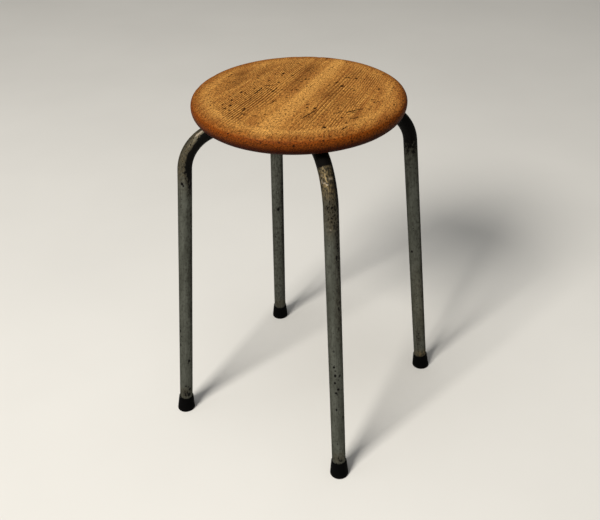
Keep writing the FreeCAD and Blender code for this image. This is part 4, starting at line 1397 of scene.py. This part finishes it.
def hot_rolled_plate(settings):
    """Hot-rolled steel plate with its mill scale, blued by the welding and starting to rust."""
    material, tree = new_material("hot_rolled_plate")
    place = add_node(tree, "TexCoord").outputs["Object"]
    parts = add_node(tree, "SeparateXYZ", {"Vector": place})
    away_x = add_node(tree, "Math", {0: parts.outputs["X"]}, operation="ABSOLUTE")
    away_y = add_node(tree, "Math", {0: parts.outputs["Y"]}, operation="ABSOLUTE")
    from_tube = add_node(tree, "Math", {0: away_x, 1: away_y}, operation="MINIMUM")
    # Clouds of 14 mm, and flakes of mill scale 2.5 mm across, as on a real plate
    cloud = add_node(tree, "TexNoise", {"Vector": place, "Scale": 1 / (14 * MM), "Detail": 5.0})
    scale_flakes = add_node(tree, "TexNoise", {"Vector": place, "Scale": 1 / (2.5 * MM), "Detail": 4.0})

    # Heat tint in bands out from the beads, over 40 mm and 6 mm wavy: grey, blue, purple-brown, straw
    wobble = add_node(tree, "Math", {0: cloud, 1: 6 * MM, 2: from_tube}, operation="MULTIPLY_ADD")
    heat = add_node(tree, "ValToRGB", {
        "Fac": add_node(tree, "Math", {0: wobble, 1: 1 / (40 * MM)}, operation="MULTIPLY"),
    }, stops=[
        (0.28, linear("#3E3F42")), (0.36, linear("#3D4658")), (0.43, linear("#5B4A4C")),
        (0.50, linear("#6E5C42")), (0.62, settings.mill_scale),
    ])
    rusty = add_node(tree, "ValToRGB", {"Fac": scale_flakes}, stops=[(0.5, 0.0), (0.7, 0.75)])
    colour = add_node(tree, "Mix", {"Factor": rusty, "A": heat, "B": settings.rust}, data_type="RGBA")
    metallic = add_node(tree, "Math", {0: 0.75, 1: rusty}, operation="SUBTRACT", use_clamp=True)
    roughness = add_node(tree, "Math", {0: cloud, 1: 0.3, 2: 0.38}, operation="MULTIPLY_ADD")
    bump = add_node(tree, "Bump", {"Strength": 0.4, "Distance": 0.15 * MM, "Height": scale_flakes})
    shader = add_node(tree, "BsdfPrincipled", {
        "Base Color": colour, "Metallic": metallic, "Roughness": roughness, "Normal": bump,
    })
    add_node(tree, "OutputMaterial", {"Surface": shader})
    return material


def build_weld_beads(settings):
    """Eight rippled fillet welds, one on each side of each tube's level end."""
    start, end = TUBE_START, BEADS_HIGH.x
    under_plate, low = BEADS_HIGH.z, BEADS_LOW.z
    wrap = math.acos((low - LEVEL_HEIGHT) / TUBE_RADIUS)
    on_tube = TUBE_RADIUS * math.sin(wrap)
    on_plate = on_tube + 2.0 * MM
    root = 1.5 * MM
    slope = Vector((0, under_plate - low, on_tube - on_plate)).normalized()

    # Hidden back of a bead, along the plate and then down the tube
    back = [
        Vector((0, root, under_plate)),
        Vector((0, root, LEVEL_HEIGHT + TUBE_RADIUS)),
        Vector((0, TUBE_RADIUS * math.sin(wrap / 2), LEVEL_HEIGHT + TUBE_RADIUS * math.cos(wrap / 2))),
    ]
    steps, across = 120, 10
    width = across + 1 + len(back)
    verts, faces = [], []
    draw = np.random.default_rng(3)
    for azimuth in LEGS.values():
        turn_to_leg = Matrix.Rotation(math.radians(azimuth), 4, "Z")
        for hand in (-1, 1):
            first = len(verts)
            drift = draw.uniform(0, 1)
            for step in range(steps + 1):
                share = step / steps
                reach = start + (end - start) * share
                swell = min(1.0, 6 * min(share, 1 - share) + 0.35)
                ring = []
                for part in np.arange(across + 1) / across:
                    bow = math.sin(math.pi * part)
                    phase = reach / settings.bead_ripple + 0.55 * (2 * part - 1) ** 2 + drift
                    ripple = abs(math.sin(math.pi * phase))
                    out = (0.35 * bow + 0.22 * ripple * bow) * MM * swell - (1 - swell) * 1.2 * MM * bow
                    face_point = Vector((
                        0, on_tube * (1 - part) + on_plate * part, low * (1 - part) + under_plate * part,
                    ))
                    ring.append(face_point + slope * out)
                for point in ring + back:
                    verts.append(turn_to_leg @ Vector((reach, hand * point.y, point.z)))
            rows = first + np.arange((steps + 1) * width).reshape(-1, width)
            for lower, upper in zip(rows, rows[1:]):
                faces += [(a, d, c, b) for a, b, c, d in strip_faces(lower, upper)]
            faces += [tuple(rows[0]), tuple(rows[-1][::-1])]
    piece = new_piece("rippled_weld_beads", verts, faces, "weld_beads")
    face_outwards(piece)
    piece.data.set_sharp_from_angle(angle=math.radians(45))
    piece.data.materials.append(weld_metal(settings))


def weld_metal(settings):
    """Stick-welded steel, wire brushed: silvery ripples with brown slag left between them."""
    material, tree = new_material("stick_weld_metal")
    place = add_node(tree, "TexCoord").outputs["Object"]
    # Slag is left in spots of 2.2 mm, as wide as the ripples
    slag = add_node(tree, "TexNoise", {"Vector": place, "Scale": 1 / (2.2 * MM), "Detail": 4.0})
    amount = add_node(tree, "ValToRGB", {"Fac": slag}, stops=[(0.42, 0.0), (0.62, 0.9)])
    colour = add_node(tree, "Mix", {
        "Factor": amount, "A": settings.weld, "B": settings.rust,
    }, data_type="RGBA")
    metallic = add_node(tree, "Math", {0: 0.85, 1: amount}, operation="SUBTRACT", use_clamp=True)
    roughness = add_node(tree, "Math", {0: slag, 1: 0.4, 2: 0.3}, operation="MULTIPLY_ADD")
    bump = add_node(tree, "Bump", {"Strength": 0.5, "Distance": 0.2 * MM, "Height": slag})
    shader = add_node(tree, "BsdfPrincipled", {
        "Base Color": colour, "Metallic": metallic, "Roughness": roughness, "Normal": bump,
    })
    add_node(tree, "OutputMaterial", {"Surface": shader})
    return material


def build_seat_screws(settings):
    """Four slotted round-head wood screws, heads down under the plate."""
    head_low, tip = SCREWS_LOW.z, SCREWS_HIGH.z
    head_radius, shank_radius, point = 4.5 * MM, 2.25 * MM, 4 * MM
    head_height = PLATE_LOW.z - head_low
    thread_depth = 0.5 * MM

    # Outline from the middle of the dome to the point: radius and height
    outline = []
    for lean in np.radians(np.linspace(0, 90, 9)):
        rise = head_height * (1 - math.cos(lean)) * 0.96
        outline.append((head_radius * math.sin(lean) ** 0.9, head_low + rise))
    outline += [(head_radius, PLATE_LOW.z), (shank_radius, PLATE_LOW.z)]
    outline += [(shank_radius, height) for height in np.linspace(PLATE_LOW.z + 0.5 * MM, tip - point, 34)]
    outline += [(shank_radius * share, tip - point * share) for share in (0.75, 0.5, 0.25, 0.0)]

    verts, faces = [], []
    for middle in screw_middles(settings):
        rows = []
        for radius, height in outline:
            count = 1 if radius < 1e-9 else SCREW_COUNT
            threaded = height > PLATE_HIGH.z + 2 * MM
            rows.append((len(verts), count))
            for i in range(count):
                turn = 2 * math.pi * i / SCREW_COUNT
                reach = radius
                if threaded:
                    phase = height / settings.screw_pitch - i / SCREW_COUNT
                    groove = thread_depth * (0.5 + 0.5 * math.cos(2 * math.pi * phase))
                    reach -= groove * radius / shank_radius
                verts.append(middle + Vector((reach * math.cos(turn), reach * math.sin(turn), height)))
        faces += turned_faces(rows, SCREW_COUNT)
    piece = new_piece("slotted_seat_screws", verts, faces, "seat_screws")
    face_outwards(piece)
    cut_slots(piece, settings, head_low)
    piece.data.set_sharp_from_angle(angle=math.radians(40))
    piece.data.materials.append(zinc_steel(settings, "zinc_plated_screws"))


def cut_slots(piece, settings, head_low):
    """Cut a driver slot across each screw's head, each turned as it was left."""
    slot_width, slot_depth, past_head = 1.2 * MM, 1.6 * MM, 12 * MM
    blade = Matrix.Diagonal((past_head, slot_width, 2 * slot_depth)).to_4x4()
    blades = bmesh.new()
    for (_, turn), middle in zip(SCREWS, screw_middles(settings)):
        place = Matrix.Translation(middle + Vector((0, 0, head_low)))
        turned = Matrix.Rotation(math.radians(turn), 4, "Z")
        bmesh.ops.create_cube(blades, size=1, matrix=place @ turned @ blade)
    mesh = bpy.data.meshes.new("slot_blades")
    blades.to_mesh(mesh)
    blades.free()
    cutter = bpy.data.objects.new("slot_blades", mesh)
    bpy.context.scene.collection.objects.link(cutter)
    slots = piece.modifiers.new("slots", "BOOLEAN")
    slots.operation = "DIFFERENCE"
    slots.solver = "EXACT"
    slots.object = cutter
    bpy.context.view_layer.update()
    cut = bpy.data.meshes.new_from_object(piece.evaluated_get(bpy.context.evaluated_depsgraph_get()))
    piece.modifiers.clear()
    piece.data = cut
    bpy.data.objects.remove(cutter)


# Stage


def build_stage(settings):
    """Plain pale floor, soft studio light and the camera."""
    scene = bpy.context.scene
    scene.view_settings.view_transform = "Standard"
    scene.view_settings.look = "None"

    mesh = bpy.data.meshes.new("stage_floor")
    half = 40.0
    corners = [(-half, -half, 0), (half, -half, 0), (half, half, 0), (-half, half, 0)]
    mesh.from_pydata(corners, [], [(0, 1, 2, 3)])
    floor = bpy.data.objects.new("stage_floor", mesh)
    scene.collection.objects.link(floor)
    floor.data.materials.append(painted_floor(settings))

    # Weak light from all round, a large key light and a faint top light, in metres and watts
    world = bpy.data.worlds.new("stage_light")
    world.use_nodes = True
    world.node_tree.nodes["Background"].inputs["Color"].default_value = linear("#F2F1EE")
    world.node_tree.nodes["Background"].inputs["Strength"].default_value = 0.18
    scene.world = world

    aim = Vector((0, 0, 0.3))
    to_key = Vector((
        math.cos(settings.key_bearing) * math.cos(settings.key_height),
        math.sin(settings.key_bearing) * math.cos(settings.key_height),
        math.sin(settings.key_height),
    ))
    for name, way, distance, size, power, colour in (
        ("key_light", to_key, 6.0, 1.8, 510, "#FFFAF2"),
        ("top_light", Vector((-0.2, -0.1, 1)).normalized(), 2.4, 1.6, 18, "#FFFFFF"),
    ):
        light = bpy.data.lights.new(name, "AREA")
        light.size = size
        light.energy = power
        light.color = linear(colour)[:3]
        lamp = bpy.data.objects.new(name, light)
        lamp.location = aim + way * distance
        lamp.rotation_euler = (-way).to_track_quat("-Z", "Y").to_euler()
        scene.collection.objects.link(lamp)

    camera = bpy.data.cameras.new("stage_camera")
    camera.lens = settings.lens
    camera.sensor_width = 36
    camera.clip_start = 0.01
    eye = bpy.data.objects.new("stage_camera", camera)
    turn = (
        Matrix.Rotation(-settings.yaw, 4, "Z") @ Matrix.Rotation(math.pi / 2 - settings.pitch, 4, "X")
        @ Matrix.Rotation(settings.roll, 4, "Z")
    )
    eye.matrix_world = Matrix.Translation(settings.camera_place) @ turn
    scene.collection.objects.link(eye)
    scene.camera = eye


def painted_floor(settings):
    """Smooth painted floor: pale, matt and a little cloudy.

    It is clear from below, so that the underside of the stool can be looked at."""
    material, tree = new_material("painted_floor")
    place = add_node(tree, "TexCoord").outputs["Object"]
    # Roller marks, some 0.3 m across
    cloud = add_node(tree, "TexNoise", {"Vector": place, "Scale": 3.0, "Detail": 3.0})
    tone = add_node(tree, "ValToRGB", {"Fac": cloud}, stops=[(0.3, 0.96), (0.7, 1.0)])
    colour = add_node(tree, "Mix", {
        "Factor": 1.0, "A": settings.floor, "B": tone,
    }, data_type="RGBA", blend_type="MULTIPLY")
    paint = add_node(tree, "BsdfPrincipled", {"Base Color": colour, "Roughness": 0.7})
    clear = add_node(tree, "BsdfTransparent")
    below = add_node(tree, "NewGeometry").outputs["Backfacing"]
    shader = add_node(tree, "MixShader", {"Fac": below, 1: paint, 2: clear})
    add_node(tree, "OutputMaterial", {"Surface": shader})
    return material


# Operators, panel and registration


class STOOL_OT_build_seat(Operator):
    """Build the worn board and its waxed elm"""
    bl_idname = "stool.build_seat"
    bl_label = "Build Seat"

    def execute(self, context):
        build_seat(context.scene.stool_seat)
        return {"FINISHED"}


class STOOL_OT_build_leg_tubes(Operator):
    """Build the four bent steel tubes"""
    bl_idname = "stool.build_leg_tubes"
    bl_label = "Build Leg Tubes"

    def execute(self, context):
        settings = context.scene.stool_tubes
        path = TubePath(settings)
        steel = drawn_steel_tube(settings)
        for side in LEGS:
            build_leg_tube(side, path, settings, steel)
        return {"FINISHED"}


class STOOL_OT_build_rubber_feet(Operator):
    """Build the four moulded rubber feet"""
    bl_idname = "stool.build_rubber_feet"
    bl_label = "Build Rubber Feet"

    def execute(self, context):
        settings = context.scene.stool_feet
        rubber = moulded_rubber(settings)
        for side in LEGS:
            build_rubber_foot(side, settings, context.scene.stool_tubes.splay, rubber)
        return {"FINISHED"}


class STOOL_OT_dress_washers(Operator):
    """Give the washers in the feet their zinc"""
    bl_idname = "stool.dress_washers"
    bl_label = "Dress Washers"

    def execute(self, context):
        zinc = zinc_steel(context.scene.stool_ironwork, "zinc_plated_washers")
        for side in LEGS:
            materials = frame["nodes"]["foot_washer_" + side].data.materials
            materials.clear()
            materials.append(zinc)
        return {"FINISHED"}


class STOOL_OT_dress_plate(Operator):
    """Give the mounting plate its mill scale"""
    bl_idname = "stool.dress_plate"
    bl_label = "Dress Mounting Plate"

    def execute(self, context):
        materials = frame["nodes"]["mounting_plate"].data.materials
        materials.clear()
        materials.append(hot_rolled_plate(context.scene.stool_ironwork))
        return {"FINISHED"}


class STOOL_OT_build_weld_beads(Operator):
    """Build the eight rippled weld beads"""
    bl_idname = "stool.build_weld_beads"
    bl_label = "Build Weld Beads"

    def execute(self, context):
        build_weld_beads(context.scene.stool_ironwork)
        return {"FINISHED"}


class STOOL_OT_build_seat_screws(Operator):
    """Build the four slotted wood screws"""
    bl_idname = "stool.build_seat_screws"
    bl_label = "Build Seat Screws"

    def execute(self, context):
        build_seat_screws(context.scene.stool_ironwork)
        return {"FINISHED"}


class STOOL_OT_set_stage(Operator):
    """Set up the floor, lights and camera"""
    bl_idname = "stool.set_stage"
    bl_label = "Set Stage"

    def execute(self, context):
        build_stage(context.scene.stool_stage)
        return {"FINISHED"}


class STOOL_PT_sidebar(Panel):
    """Stool pieces and their settings"""
    bl_label = "Stacking Stool"
    bl_idname = "STOOL_PT_sidebar"
    bl_space_type = "VIEW_3D"
    bl_region_type = "UI"
    bl_category = "Stool"

    def draw(self, context):
        for operator in OPERATORS:
            self.layout.operator(operator.bl_idname)
        for name, group in SETTINGS.items():
            box = self.layout.box()
            box.label(text=group.__doc__)
            for key in group.__annotations__:
                box.prop(getattr(context.scene, name), key)


SETTINGS = {
    "stool_seat": SeatSettings,
    "stool_tubes": TubeSettings,
    "stool_feet": FootSettings,
    "stool_ironwork": IronworkSettings,
    "stool_stage": StageSettings,
}
OPERATORS = (
    STOOL_OT_build_seat,
    STOOL_OT_build_leg_tubes,
    STOOL_OT_build_rubber_feet,
    STOOL_OT_dress_washers,
    STOOL_OT_dress_plate,
    STOOL_OT_build_weld_beads,
    STOOL_OT_build_seat_screws,
    STOOL_OT_set_stage,
)


def register():
    """Register the settings, operators and panel."""
    for name, group in SETTINGS.items():
        bpy.utils.register_class(group)
        setattr(bpy.types.Scene, name, PointerProperty(type=group))
    for cls in OPERATORS + (STOOL_PT_sidebar,):
        bpy.utils.register_class(cls)


def unregister():
    """Take them away again, last first."""
    for cls in reversed(OPERATORS + (STOOL_PT_sidebar,)):
        bpy.utils.unregister_class(cls)
    for name, group in reversed(list(SETTINGS.items())):
        delattr(bpy.types.Scene, name)
        bpy.utils.unregister_class(group)


def main():
    """Register the add-on, then build every piece and the stage."""
    register()
    for operator in OPERATORS:
        group, name = operator.bl_idname.split(".")
        getattr(getattr(bpy.ops, group), name)()


if __name__ == "__main__":
    main()
